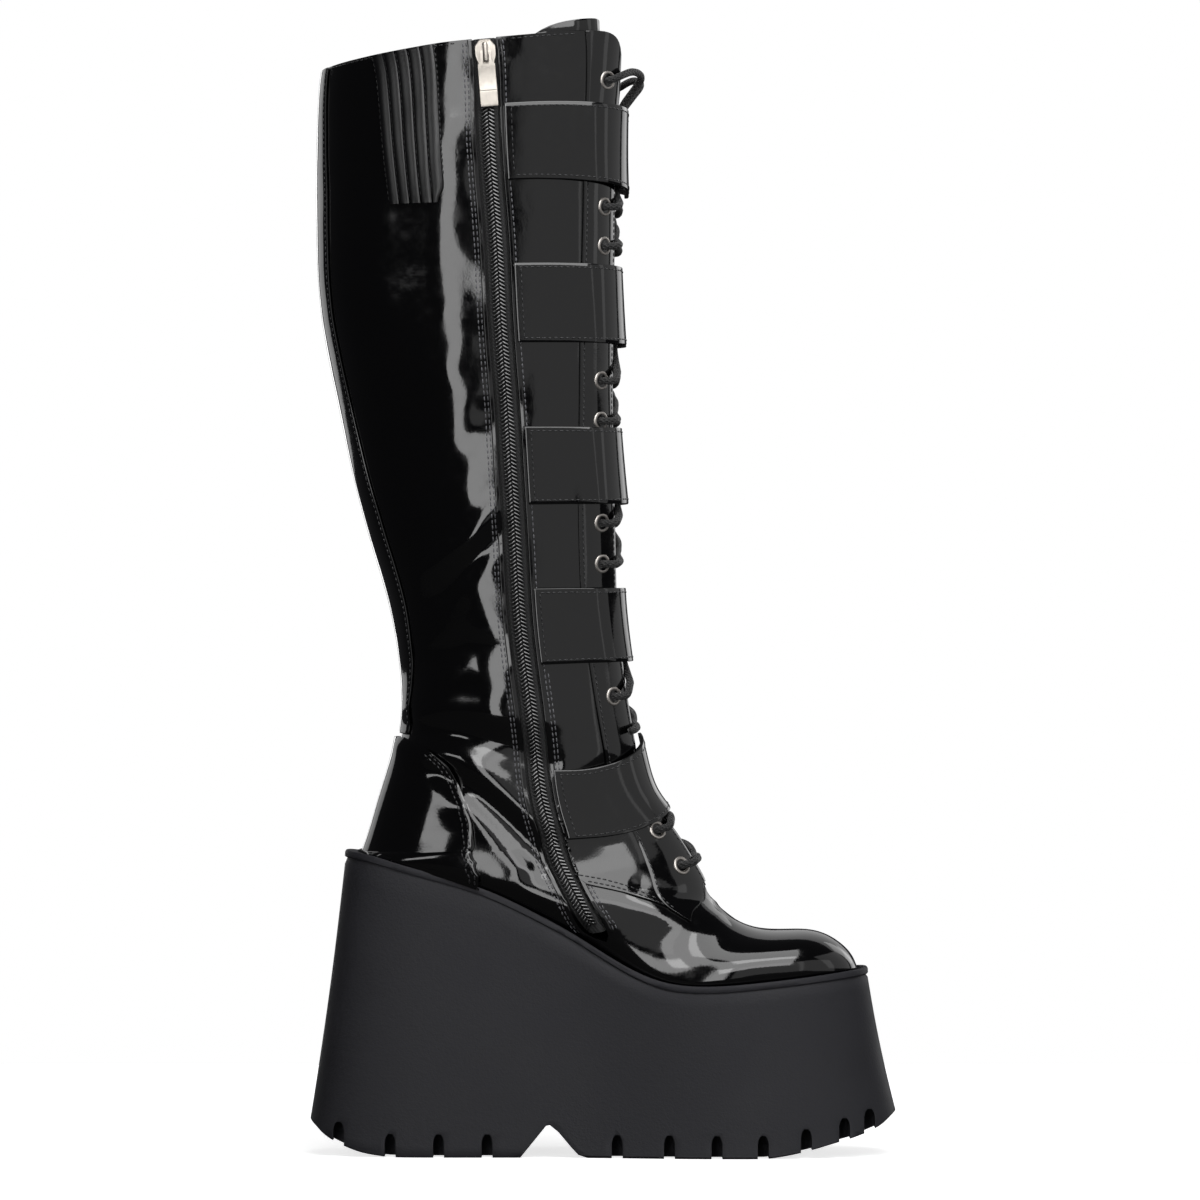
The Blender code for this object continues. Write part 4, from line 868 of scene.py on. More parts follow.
def mesh_of(obj):
    """An object's corners and faces, after which it is removed."""
    corners = np.array([v.co for v in obj.data.vertices])
    faces = [list(face.vertices) for face in obj.data.polygons]
    bpy.data.objects.remove(obj)
    return corners, faces


def scatter(name, base, places, material):
    """One piece out of many copies of a small mesh, each at a point with its own three axes."""
    corners, faces = base
    vertices, polygons = [], []
    for point, x, y, z in places:
        start = len(vertices) * len(corners)
        vertices.append(point + corners[:, :1] * x + corners[:, 1:2] * y + corners[:, 2:3] * z)
        polygons += [[start + i for i in face] for face in faces]
    return new_mesh(name, np.concatenate(vertices), polygons, material)


def ring_faces(rings, count):
    """Faces between closed rings of count points each."""
    return [
        [k * count + i, k * count + (i + 1) % count, (k + 1) * count + (i + 1) % count, (k + 1) * count + i]
        for k in range(rings - 1)
        for i in range(count)
    ]


def block(name, size, centre, edge, segments=3):
    """A block with rounded edges."""
    deselect()
    bpy.ops.mesh.primitive_cube_add(size=1)
    obj = bpy.context.object
    obj.name = obj.data.name = name
    obj.data.transform(Matrix.Translation(centre) @ Matrix.Diagonal((*size, 1)))
    if edge:
        apply(obj, "BEVEL", width=edge, segments=segments, limit_method="NONE")
    return obj


def round_edges(obj, width, angle):
    """Rounds the edges sharper than an angle in degrees."""
    apply(obj, "BEVEL", width=width, segments=2, limit_method="ANGLE", angle_limit=math.radians(angle))


def combine(obj, other, operation):
    """A boolean with another object, which is removed."""
    apply(obj, "BOOLEAN", operation=operation, object=other, solver="EXACT")
    bpy.data.objects.remove(other)


# Finishes
def linear(colour):
    """A hex colour as Blender's linear colour."""
    parts = [int(colour[k : k + 2], 16) / 255 for k in (0, 2, 4)]
    return (*[c / 12.92 if c <= 0.04045 else ((c + 0.055) / 1.055) ** 2.4 for c in parts], 1)


def add(tree, kind, links=(), **values):
    """A shader node with its settings, input values and links: links are (input, node, output)."""
    node = tree.nodes.new("ShaderNode" + kind)
    for key, value in values.items():
        if key.startswith("in_"):
            spot = key[3:]
            node.inputs[int(spot) if spot.isdigit() else spot.replace("_", " ")].default_value = value
        else:
            setattr(node, key, value)
    for spot, source, output in links:
        tree.links.new(source.outputs[output], node.inputs[spot])
    return node


def start_material(name, colour, roughness, metallic=0.0, **more):
    """A material with its tree and shader, and the link that brings object coordinates."""
    material = bpy.data.materials.new(name)
    material.use_nodes = True
    tree = material.node_tree
    shader = tree.nodes["Principled BSDF"]
    shader.inputs["Base Color"].default_value = linear(colour)
    shader.inputs["Roughness"].default_value = roughness
    shader.inputs["Metallic"].default_value = metallic
    for key, value in more.items():
        shader.inputs[key.replace("_", " ")].default_value = value
    return material, tree, shader, ("Vector", add(tree, "TexCoord"), "Object")


def tint(tree, shader, source, output, dark, light):
    """The shader's colour between two tones, by a node's output."""
    tones = {"in_6": linear(dark), "in_7": linear(light)}
    tone = add(tree, "Mix", [("Factor", source, output)], data_type="RGBA", **tones)
    tree.links.new(tone.outputs[2], shader.inputs["Base Color"])


def vary(tree, shader, source, low, high, first=0.0, last_one=1.0, output="Fac", socket="Roughness"):
    """An input of the shader between two values, as a node's output goes from first to last_one."""
    span = add(
        tree, "MapRange", [("Value", source, output)],
        in_From_Min=first, in_From_Max=last_one, in_To_Min=low, in_To_Max=high,
    )
    tree.links.new(span.outputs["Result"], shader.inputs[socket])


def bump(tree, shader, layers):
    """Chains bumps of (source node, output, height in metres) into the shader."""
    normal = None
    for source, output, height in layers:
        links = [("Height", source, output)]
        if normal:
            links.append(("Normal", normal, "Normal"))
        normal = add(tree, "Bump", links, in_Strength=1.0, in_Distance=height)
    tree.links.new(normal.outputs["Normal"], shader.inputs["Normal"])


def patent_leather(name, slack):
    """Patent leather: split hide under a cast polyurethane film. A black mirror with a slow ripple."""
    material, tree, shader, spot = start_material(
        name, "060607", 0.075, IOR=1.5, Coat_Weight=0.35, Coat_Roughness=0.03
    )
    ripple = add(tree, "TexNoise", [spot], in_Scale=70.0, in_Detail=1.5, in_Roughness=0.4)
    grain = add(tree, "TexVoronoi", [spot], in_Scale=900.0)
    dust = add(tree, "TexNoise", [spot], in_Scale=240.0, in_Detail=4.0)
    vary(tree, shader, dust, 0.055, 0.12, 0.35, 0.75)
    bump(tree, shader, [(ripple, "Fac", slack), (grain, "Distance", 0.000006)])
    return material


def one_relief(name, colour, roughness, kind, height, settings, **more):
    """A material of one colour with one fine relief."""
    material, tree, shader, spot = start_material(name, colour, roughness, **more)
    relief = add(tree, kind, [spot], **settings)
    bump(tree, shader, [(relief, "Fac", height)])
    return material


def moulded_rubber():
    """EVA rubber, moulded and buffed: matte charcoal with a fine grit and faint cloudy marks."""
    material, tree, shader, spot = start_material("moulded rubber", "323236", 0.62, Specular_IOR_Level=0.2)
    clouds = add(tree, "TexNoise", [spot], in_Scale=28.0, in_Detail=6.0, in_Roughness=0.6)
    grit = add(tree, "TexNoise", [spot], in_Scale=1500.0, in_Detail=2.0)
    pores = add(tree, "TexVoronoi", [spot], in_Scale=650.0)
    tint(tree, shader, clouds, "Fac", "2b2b2f", "3a3a3f")
    vary(tree, shader, clouds, 0.54, 0.70, 0.3, 0.7)
    bump(tree, shader, [(grit, "Fac", 0.00008), (pores, "Distance", 0.00005)])
    return material


def knit_lining():
    """Brushed polyester knit bonded to foam: dark and dry, with a fine weave."""
    material, tree, shader, spot = start_material("lining knit", "141416", 0.92, Sheen_Weight=0.3)
    wale = add(tree, "TexWave", [spot], in_Scale=260.0, in_Distortion=1.0, bands_direction="Z")
    course = add(tree, "TexWave", [spot], in_Scale=260.0, in_Distortion=1.0, bands_direction="X")
    tint(tree, shader, wale, "Fac", "101012", "1c1c1f")
    bump(tree, shader, [(wale, "Fac", 0.00012), (course, "Fac", 0.00012)])
    return material


def woven_tape():
    """Zip tape: twill-woven polyester, matte black with a fine diagonal rib."""
    material, tree, shader, spot = start_material("zip tape twill", "0c0c0d", 0.72, Sheen_Weight=0.15)
    twill = add(tree, "TexWave", [spot], in_Scale=420.0, bands_direction="DIAGONAL")
    thread = add(tree, "TexNoise", [spot], in_Scale=1800.0)
    tint(tree, shader, twill, "Fac", "080809", "141416")
    bump(tree, shader, [(twill, "Fac", 0.00010), (thread, "Fac", 0.00003)])
    return material


def nylon_coil():
    """Nylon monofilament coil: satin black, each turn with a soft glint."""
    material, tree, shader, spot = start_material(
        "nylon coil", "101011", 0.24, IOR=1.53, Coat_Weight=1.0, Coat_Roughness=0.12
    )
    scuff = add(tree, "TexNoise", [spot], in_Scale=900.0, in_Detail=3.0)
    vary(tree, shader, scuff, 0.14, 0.30)
    bump(tree, shader, [(scuff, "Fac", 0.00002)])
    return material


def plated_metal(name, dark, light, roughness):
    """Plated zinc or brass, tumbled: warm grey metal with a soft edge and fine scratches."""
    material, tree, shader, spot = start_material(name, light, roughness, 1.0)
    scratches = add(tree, "Mapping", [spot], in_Scale=(2600.0, 2600.0, 260.0))
    lines = add(tree, "TexNoise", [("Vector", scratches, "Vector")], in_Scale=1.0, in_Detail=3.0)
    wear = add(tree, "TexNoise", [spot], in_Scale=320.0, in_Detail=3.0)
    tint(tree, shader, wear, "Fac", dark, light)
    vary(tree, shader, lines, roughness * 0.7, roughness * 1.5)
    bump(tree, shader, [(lines, "Fac", 0.000006)])
    return material


def braided_cord():
    """Round polyester braid: matte black strands that cross in small slanted lozenges."""
    material, tree, shader, spot = start_material("braided cord", "101011", 0.66, Sheen_Weight=0.25)
    split = add(tree, "SeparateXYZ", [("Vector", spot[1], "UV")])
    waves = []
    for turns in (6, -6):
        along = add(tree, "Math", [(0, split, "X")], operation="MULTIPLY", in_1=2 * math.pi / BRAID_REPEAT)
        around = add(tree, "Math", [(0, split, "Y")], operation="MULTIPLY", in_1=turns * 2 * math.pi)
        total = add(tree, "Math", [(0, along, 0), (1, around, 0)], operation="ADD")
        waves.append(add(tree, "Math", [(0, total, 0)], operation="SINE"))
    height = add(tree, "Math", [(0, waves[0], 0), (1, waves[1], 0)], operation="MAXIMUM")
    tint(tree, shader, height, 0, "060606", "19191a")
    bump(tree, shader, [(height, 0, 0.00022)])
    return material


PATENT = patent_leather("patent leather", 0.00018)
PATENT_FLAT = patent_leather("patent leather bonded flat", 0.00008)
# Acrylic edge paint, brushed on the cut edges of straps: satin black, slightly uneven
brushed = {"in_Scale": 600.0, "in_Detail": 2.0}
EDGE_PAINT = one_relief("edge paint", "0b0b0c", 0.55, "TexNoise", 0.00004, brushed)
# Coated elastic webbing, woven and rolled: satin black that smears what it mirrors
woven = {"in_Scale": 900.0, "in_Detail": 2.0}
WEBBING = one_relief("elastic webbing", "08080a", 0.3, "TexNoise", 0.00003, woven)
RUBBER = moulded_rubber()
LINING = knit_lining()
TAPE = woven_tape()
COIL = nylon_coil()
NICKEL = plated_metal("satin nickel", "a9a39b", "c9c3bb", 0.42)
PEWTER = plated_metal("pewter plate", "a19c97", "bdb8b3", 0.36)
CORD = braided_cord()
# Bonded polyester thread: black and twisted, with a slight sheen that shows each stitch; the zip's black
# thread is painted light grey, a painted highlight for the glints on its stitches
twist = {"in_Scale": 700.0, "bands_direction": "DIAGONAL"}
THREAD = one_relief("bonded thread", "242427", 0.40, "TexWave", 0.00005, twist, Sheen_Weight=0.2)
# Black thread painted light grey: painted glints for the zip's stitches
THREAD_PAINTED_GLINTS = one_relief("thread painted with glints", "77777c", 0.28, "TexWave", 0.00005, twist, Sheen_Weight=0.2)

# The camera and the light
camera_data = bpy.data.cameras.new("camera")
camera_data.lens, camera_data.sensor_width = 250, 36
camera = linked("camera", camera_data)
camera.location = (-0.00144, -4.0, 0.265)
camera.rotation_euler = (math.radians(90), 0, 0)
bpy.context.scene.camera = camera
bpy.context.scene.view_settings.view_transform = "Standard"

# The eye sees a white backdrop, and the boot mirrors a dark room
world = bpy.data.worlds.new("studio")
bpy.context.scene.world = world
world.use_nodes = True
tree = world.node_tree
back = tree.nodes["Background"]
back.inputs["Color"].default_value = (0.03, 0.03, 0.032, 1)
white = add(tree, "Background", in_Color=(1, 1, 1, 1), in_Strength=1.0)
seen = add(tree, "LightPath")
either = add(tree, "MixShader", [(0, seen, "Is Camera Ray"), (1, back, 0), (2, white, 0)])
tree.links.new(either.outputs[0], tree.nodes["World Output"].inputs["Surface"])


def softbox(name, place, target, width, height, power, gloss_only=False):
    """A rectangular soft light; one for gloss alone shows in shine and leaves matt surfaces as they are."""
    data = bpy.data.lights.new(name, "AREA")
    data.shape, data.size, data.size_y, data.energy = "RECTANGLE", width, height, power
    obj = linked(name, data)
    obj.location = place
    obj.rotation_euler = (Vector(place) - Vector(target)).to_track_quat("Z", "Y").to_euler()
    obj.visible_diffuse = not gloss_only
    obj.visible_camera = False


softbox("strip", (-0.70, -4.05, 0.50), (-0.03, 0, 0.35), 0.76, 3.4, 31)
softbox("wall", (1.60, -4.2, 0.60), (0.0, 0, 0.35), 3.4, 3.2, 16)
softbox("top", (0.30, -0.80, 1.70), (0.06, 0, 0.1), 1.2, 1.4, 16)
softbox("side_wall", (3.6, -2.3, 0.60), (0.0, 0, 0.35), 3.0, 3.2, 14)
softbox("over_vamp", (0.75, -4.05, 2.95), (0.05, 0, 0.10), 4.0, 3.4, 160, True)
softbox("over_heel", (-6.20, -7.8, 1.70), (-0.08, 0, 0.15), 3.2, 1.4, 52, True)
softbox("outer_strip", (-1.15, 3.6, 0.60), (-0.03, 0, 0.35), 0.5, 2.6, 10)
softbox("outer_wall", (2.6, 3.4, 0.60), (0.0, 0, 0.35), 2.4, 2.6, 10)
softbox("front_wall", (4.3, 0.3, 1.9), (0.05, 0, 0.2), 5.0, 3.6, 27, True)
softbox("far_wall", (1.6, 3.6, 2.2), (0.05, 0, 0.2), 4.0, 3.0, 18, True)
softbox("behind", (-1.3, 1.5, 0.9), (0, 0, 0.3), 0.9, 1.6, 3.5)
softbox("far_side", (1.4, 1.7, 0.8), (0, 0, 0.25), 0.9, 1.8, 4)

deselect()
bpy.ops.mesh.primitive_plane_add(size=1.5)
floor = bpy.context.object
floor.name = "floor"
paper, tree, shader, spot = start_material("studio paper", "f4f4f4", 0.9)
fibre = add(tree, "TexNoise", [spot], in_Scale=400.0)
bump(tree, shader, [(fibre, "Fac", 0.0001)])
shader.inputs["Emission Color"].default_value = (1, 1, 1, 1)
away = add(tree, "VectorMath", [spot], operation="LENGTH")
vary(tree, shader, away, 0.76, 1.0, 0.15, 0.62, "Value", "Emission Strength")
# What the boot mirrors of the floor is dim
dim = add(tree, "BsdfDiffuse", in_Color=(0.10, 0.10, 0.10, 1))
seen = add(tree, "LightPath")
either = add(tree, "MixShader", [(0, seen, "Is Camera Ray"), (1, dim, 0), (2, shader, 0)])
tree.links.new(either.outputs[0], tree.nodes["Material Output"].inputs["Surface"])
floor.data.materials.append(paper)


# The lace ends, which are free cords
def through(controls, count):
    """A smooth curve through control points, as count rows."""
    table = [(k, *control) for k, control in enumerate(controls)]
    t = np.linspace(0, len(controls) - 1, count)
    return np.stack([spline(table, column)(t) for column in (1, 2, 3)], -1)


def lace(name, points, over=(), sides=12):
    """A round cord along points and its length. Its UV is in metres along and turns around."""
    points = [Vector(p) for p in points]
    count = len(points)
    length, far = [0.0], 0.0
    for a, b in zip(points, points[1:]):
        far += (b - a).length
        length.append(far)
    vertices, across = [], None
    for k, p in enumerate(points):
        along = (points[min(k + 1, count - 1)] - points[max(k - 1, 0)]).normalized()
        across = along.orthogonal() if across is None else across - along * across.dot(along)
        across.normalize()
        other = along.cross(across)
        for i in range(sides):
            a = 2 * math.pi * i / sides
            vertices.append(p + (across * math.cos(a) + other * math.sin(a)) * (LACE_DIAMETER / 2))
    faces, uvs = ring_faces(count, sides), []
    for k in range(count - 1):
        for i in range(sides):
            for row, turn in ((k, i), (k, i + 1), (k + 1, i + 1), (k + 1, i)):
                uvs.append((length[row], turn / sides))
    faces.append(list(range(sides))[::-1])
    faces.append([(count - 1) * sides + i for i in range(sides)])
    uvs += [(0, 0)] * (2 * sides)
    obj = new_mesh(name, [tuple(v) for v in vertices], faces, CORD, uvs)
    return finish(obj, over), far


def lace_end_points(side):
    """The route of a free end, over the top eyelet and down behind the top strap."""
    points = []
    for station, width, lift in through(LACE_END_ROWS, 60):
        turn = turn_at_width(station, side, width * THROAT_WIDTH / 2)
        points.append(Vector(raised(station, turn, side, lift * LACE_DIAMETER)))
    return points


for word, side in SIDES:
    route = lace_end_points(side)
    end, length = lace(f"lace_end_cord_{word}", route, (f"lace_end_{word}",))

# The upper and what lies on it
rows = rows_between(0, STATION_TOE)
u = rows[:, None]
zip_front, zip_middle, zip_back = zip_turns(u)
closed = u >= STATION_ZIP_END
zip_front = np.where(closed, zip_middle, zip_front)
zip_back = np.where(closed, zip_middle, zip_back)


def wall(turns, edge, side):
    """One panel of the upper's outside."""
    grid = collar_grid(rows, turns, edge, side)
    points = skin(grid, turns, side, 0.0 * grid)
    points[rows >= STATION_TOE] = surface(grid, turns, side)[rows >= STATION_TOE]
    return as_panel(points, side)


edge_in, edge_out = throat_turn(u, INNER), throat_turn(u, OUTER)
ahead, behind = np.linspace(0, 1, FRONT_SPAN + 1)[None, :], np.linspace(0, 1, BACK_SPAN + 1)[None, :]
whole = np.linspace(0, 1, FRONT_SPAN + BACK_SPAN + 1)[None, :]
sew(
    "leg_and_foot",
    [
        wall(edge_in + (zip_front - edge_in) * ahead, edge_in, INNER),
        wall(zip_back + (section(u, INNER)["end_turn"] - zip_back) * behind, edge_in, INNER),
        wall(edge_out + (section(u, OUTER)["end_turn"] - edge_out) * whole, edge_out, OUTER),
    ],
    WALL, [PATENT, LINING], over=("upper",),
)


def panel(first, last_one, low, high, columns, side, lift, finer=1.0):
    """A grid over the leather, between the turns low(u) and high(u)."""
    v = rows_between(first, last_one, finer)[:, None]
    share = np.linspace(0, 1, columns + 1)[None, :]
    turn = low(v) + (high(v) - low(v)) * share
    return as_panel(skin(v + 0 * share, turn, side, lift), side)


def end_of(side):
    """The turn at which a section ends, as a function of the station."""
    return lambda v: section(v, side)["end_turn"] + 0 * v


seam = line(SEAM_ROWS)


def quarter(side):
    """The quarter over the vamp, down to the double-stitched seam, with its front under the facing."""
    last_share, columns = (0.47, 28) if side == INNER else (0.90, 56)
    share = np.linspace(FACING_SHARE, last_share, columns)[None, :]
    down = np.linspace(0, 1, 42)[:, None]
    v = QUARTER_TOP + (seam(share) - QUARTER_TOP) * down
    tucked = np.minimum(spline(EYESTAY_ROWS)(v) - 0.014, FACING_SHARE) - FACING_SHARE
    turn = turn_at_share(v, side, share + tucked * np.linspace(1, 0, share.shape[1])[None, :] ** 2)
    if side == INNER:
        turn = np.minimum(turn, along_by(v, zip_turns(v)[0], INNER, -0.0008))
    return as_panel(skin(v, turn, side, QUARTER_LIFT), side)


def zip_welt(edge_at, hand):
    """The folded edge of the leather beside the zip: hand is -1 in front of it and 1 behind it."""
    edge = lambda v: zip_turns(v)[edge_at]
    away = lambda v: along_by(v, edge(v), INNER, WELT * hand)
    low, high = (away, edge) if hand < 0 else (edge, away)
    return panel(0.02, 18.2, low, high, 4, INNER, WELT_LIFT)


for word, edge_at, hand in (("front", 0, -1), ("back", 2, 1)):
    sew(f"zip_welt_{word}", [zip_welt(edge_at, hand)], PLY, [PATENT], SOFT_EDGE)
for word, side in SIDES:
    sew(f"quarter_{word}", [quarter(side)], PLY, [PATENT], FINE_EDGE)

counter_share = line(COUNTER_ROWS)


def counter_foot(v, side):
    """The turn at the counter's lower edge: the section's end, or just above the seat at the side."""
    return np.where(v < STATION_COUNTER_SIDE, end_of(side)(v), turn_above_seat(v, side, COUNTER_CLEAR))


def counter_edge(v, side):
    """The turn at the counter's upper and front edge."""
    return np.minimum(turn_at_share(v, side, counter_share(v)), counter_foot(v, side))


def counter_grid(side):
    """One side of the heel counter, held above the seat."""
    first, last_one, finer = COUNTER_ROWS[0][0], COUNTER_ROWS[-1][0], 1.6
    low, high = lambda v: counter_edge(v, side), lambda v: counter_foot(v, side)
    grid = panel(first, last_one, low, high, 30, side, COUNTER_SEAT + COUNTER_THICKNESS, finer)
    lowest = seat_z(grid[..., 0]) + COUNTER_LOWEST
    behind_heel = rows_between(first, last_one, finer) < STATION_COUNTER_SIDE
    grid[behind_heel, :, 2] = np.maximum(grid[behind_heel, :, 2], lowest[behind_heel])
    return grid


sew(
    "counter_patch", [counter_grid(INNER), counter_grid(OUTER)],
    COUNTER_THICKNESS, [PATENT], COUNTER_EDGE, over=("heel_counter",),
)

stay_share = spline(BACKSTAY_ROWS)
stay_edge = lambda side: lambda v: turn_at_share(v, side, stay_share(v))
stay_halves = [
    panel(0.04, 10.5, stay_edge(side), end_of(side), 5, side, OVERLAY + GAP) for _, side in SIDES
]
sew("back_stay_strip", stay_halves, OVERLAY, [PATENT], SOFT_EDGE, over=("back_stay",))


def facing(side):
    """The eyestay, under its eyelets."""
    back_share, front_share = spline(EYESTAY_ROWS), line(EYESTAY_FRONT_ROWS)
    tip, first = EYESTAY_FRONT_ROWS[-1][0], EYESTAY_FRONT_ROWS[0][0]
    stations = rows_between(0.0, tip)
    v = stations[:, None]
    edge = throat_turn(v, side)
    low = np.where(v <= first, edge, np.maximum(turn_at_share(v, side, front_share(v)), edge))
    high = np.where(v >= tip, low, turn_at_share(v, side, back_share(v)))
    turns = low + (high - low) * np.linspace(0, 1, 15)[None, :]
    grid = collar_grid(stations, turns, edge, side) + 0.02 * (v == 0)
    return as_panel(skin(grid, turns, side, OVERLAY + GAP), side)


for word, side in SIDES:
    sew(f"facing_{word}", [facing(side)], OVERLAY, [PATENT_FLAT], SOFT_EDGE, over=(f"eyestay_{word}",))


def gusset():
    """The elastic panel, covered with rounded upright ribs."""
    share = np.linspace(0, 1, RIB_COUNT * RIB_COLUMNS + 1)[None, :]
    v = rows_between(GUSSET_FRONT_ROWS[0][0], GUSSET_FRONT_ROWS[-1][0])[:, None]
    low = turn_at_share(v, INNER, line(GUSSET_FRONT_ROWS)(v))
    high = turn_at_share(v, INNER, line(GUSSET_BACK_ROWS)(v))
    foot = smooth((v - 2.3) / 0.25) * smooth(1 - share / 0.25) * 0.12
    turn = low + (high - low) * (share + foot * (1 - share))
    rib = np.abs(np.sin(share * math.pi * RIB_COUNT)) ** 0.22
    pucker = 0.00007 * np.sin(v * 57 + 5 * np.sin(share * 17)) * rib
    return skin(v + 0 * share, turn, INNER, 0.0008 + RIB_HEIGHT * rib + pucker)


sew("ribbed_gusset", [gusset()], PLY, [WEBBING], over=("stretch_gusset",))


def tongue_grid():
    """The tongue, tucked under the throat's edges and leaning back above the collar."""
    top = -TONGUE_ABOVE_COLLAR / (SHAFT_HEIGHT * (LEG_ROWS[0][1] - LEG_ROWS[1][1]))
    stations = np.concatenate([np.linspace(top, 0, 8)[:-1], rows_between(0, 17.5)])
    share = np.linspace(-1, 1, 49)[None, :]
    v = stations[:, None] + 0 * share
    reach = turn_at_width(v, INNER, throat_share(v) * THROAT_WIDTH / 2 + TONGUE_UNDERLAP)
    spread = turn_at_share(v, INNER, TONGUE_TOP_REACH)
    reach = reach + (spread - reach) * smooth((TONGUE_WIDENS - v) / TONGUE_WIDENS)
    turn = share * reach
    tuck = TONGUE_TUCK * smooth(np.abs(share) * 1.15)
    lean = TONGUE_LEAN * smooth((1.3 - v) / 1.6) * (1 - smooth(np.abs(share)))
    ripple = 0.0003 * np.sin(v * 9) * np.cos(share * 5)
    points = raised(v, turn, INNER, ripple - (TONGUE_SINK + tuck + lean))
    near_top = np.clip((0 - stations[:, None]) / -top, 0, 1)
    points[..., 2] -= (np.abs(share) ** 9 * TONGUE_ABOVE_COLLAR - 0.0026 * share**2) * near_top
    return points


sew("tongue_piece", [tongue_grid()], TONGUE_THICKNESS, [PATENT_FLAT, LINING], TONGUE_EDGE, over=("tongue",))


def strap_lift(turn, corner_turn, end_turn, front, peak):
    """The strap's height: low over the throat, highest at its corner, and seated from there on."""
    t = np.abs(turn)
    inner = front + (peak - front) * smooth(t / corner_turn)
    fall = smooth((t - corner_turn * 1.15) / (end_turn - corner_turn * 1.15) / 0.5)
    return np.where(t < corner_turn, inner, peak + (STRAP_SEAT - peak) * fall)


def strap_place(row, down, share, lift):
    """Points of a strap at shares down it and from its middle to its ends."""
    side_top, side_bottom, front_top, front_bottom, top_lift, bottom_lift, top_corner, bottom_corner = row
    blend = smooth(np.abs(share) / 0.9)
    top = front_top + (side_top - front_top) * blend
    bottom = front_bottom + (side_bottom - front_bottom) * blend
    v = top + (bottom - top) * down
    end = along_by(v, zip_turns(v)[0], INNER, -0.0016)
    edge = turn_at_width(v, INNER, throat_half(v) * 1.16)
    turn = share * end
    front = top_lift + (bottom_lift - top_lift) * down
    peak = top_corner + (bottom_corner - top_corner) * down
    return raised(v, turn, INNER, strap_lift(turn, edge, end, front, peak) + lift)


def strap_share(count):
    """Shares from one end of a strap to the other, closer together near the ends."""
    spread = np.linspace(-1, 1, count)
    return (np.sign(spread) * np.abs(spread) ** 0.85)[None, :]


for number, row in enumerate(STRAP_ROWS, 1):
    grid = strap_place(row, np.linspace(0, 1, 19)[:, None], strap_share(121), STRAP_THICKNESS)
    finishes = [PATENT_FLAT, LINING, EDGE_PAINT]
    sew(f"strap_band_{number}", [grid], STRAP_THICKNESS, finishes, FINE_EDGE, over=(f"strap_{number}",))


# Stitches
def stitch_mesh():
    """One stitch: a slim grain, lying along its seam."""
    deselect()
    bpy.ops.mesh.primitive_uv_sphere_add(segments=6, ring_count=4, radius=1)
    corners, faces = mesh_of(bpy.context.object)
    return corners[:, [2, 0, 1]] * (STITCH_LENGTH / 2, STITCH_RADIUS, STITCH_RADIUS * 0.8), faces


STITCH = stitch_mesh()


def stitch_row(path, over, pitch=STITCH_PITCH):
    """Places for stitches along a path: over is the path a little further out."""
    path, over = np.asarray(path), np.asarray(over)
    far = np.concatenate([[0], np.cumsum(np.linalg.norm(np.diff(path, axis=0), axis=1))])
    spots = np.arange(pitch / 2, far[-1], pitch)
    at = lambda table, where: np.stack([np.interp(where, far, table[:, k]) for k in range(3)], -1)
    here, out = at(path, spots), at(over, spots) - at(path, spots)
    along = at(path, spots + 0.0004) - at(path, spots - 0.0004)
    return here, along, out


def stitches(name, rows_of, material):
    """All the stitches of one group as one piece."""
    places = []
    for here, along, out in rows_of:
        along = along / np.linalg.norm(along, axis=1, keepdims=True)
        side = np.cross(out, along)
        side /= np.linalg.norm(side, axis=1, keepdims=True)
        places += zip(here, along, side, np.cross(along, side))
    return finish(scatter(name, STITCH, places, material))


def along_leather(v, turn, side, lift):
    """A row of stitches over the leather, through stations and turns."""
    v, turn = both(np.ravel(v), np.ravel(turn))
    return stitch_row(skin(v, turn, side, lift), skin(v, turn, side, lift + 0.001))


v = rows_between(0.1, 18.1)
front_turn, _, back_turn = zip_turns(v)
near, beyond = ZIP_STITCHES
zip_rows = [along_leather(v, along_by(v, back_turn, INNER, away), INNER, 0.0) for away in ZIP_STITCHES]
zip_rows.append(along_leather(v, along_by(v, front_turn, INNER, -near), INNER, 0.0))
low = v[v > 9.2]
zip_rows.append(along_leather(low, along_by(low, zip_turns(low)[0], INNER, -beyond), INNER, 0.0))
# The zip's stitches are black thread painted light grey as a painted highlight
stitches("zip_stitches", zip_rows, THREAD_PAINTED_GLINTS)

edge_rows = []
for side in (INNER, OUTER):
    v = rows_between(1.4, 17.5)
    turn = turn_at_share(v, side, spline(EYESTAY_ROWS)(v))
    edge_rows.append(along_leather(v, along_by(v, turn, side, -FACING_STITCH), side, OVERLAY + GAP))
    v = rows_between(1.4, 16.3)
    turn = along_by(v, throat_turn(v, side), side, THROAT_STITCH)
    edge_rows.append(along_leather(v, turn, side, OVERLAY + GAP))
    v = rows_between(0.2, 10.3)
    turn = turn_at_share(v, side, stay_share(v))
    edge_rows.append(along_leather(v, along_by(v, turn, side, STAY_STITCH), side, OVERLAY + GAP))
    for inset in COUNTER_STITCHES:
        v = rows_between(11.0, 16.2, 3)
        turn = along_by(v, counter_edge(v, side), side, inset)
        turn = np.minimum(turn, counter_foot(v, side) - 0.02)
        edge_rows.append(along_leather(v, turn, side, COUNTER_SEAT + COUNTER_THICKNESS))
    share = np.linspace(FACING_SHARE, 0.455 if side == INNER else 0.78, 60)
    for inset in QUARTER_STITCHES:
        v = seam(share) - inset
        edge_rows.append(along_leather(v, turn_at_share(v, side, share), side, QUARTER_LIFT))
stitches("edge_stitches", edge_rows, THREAD)

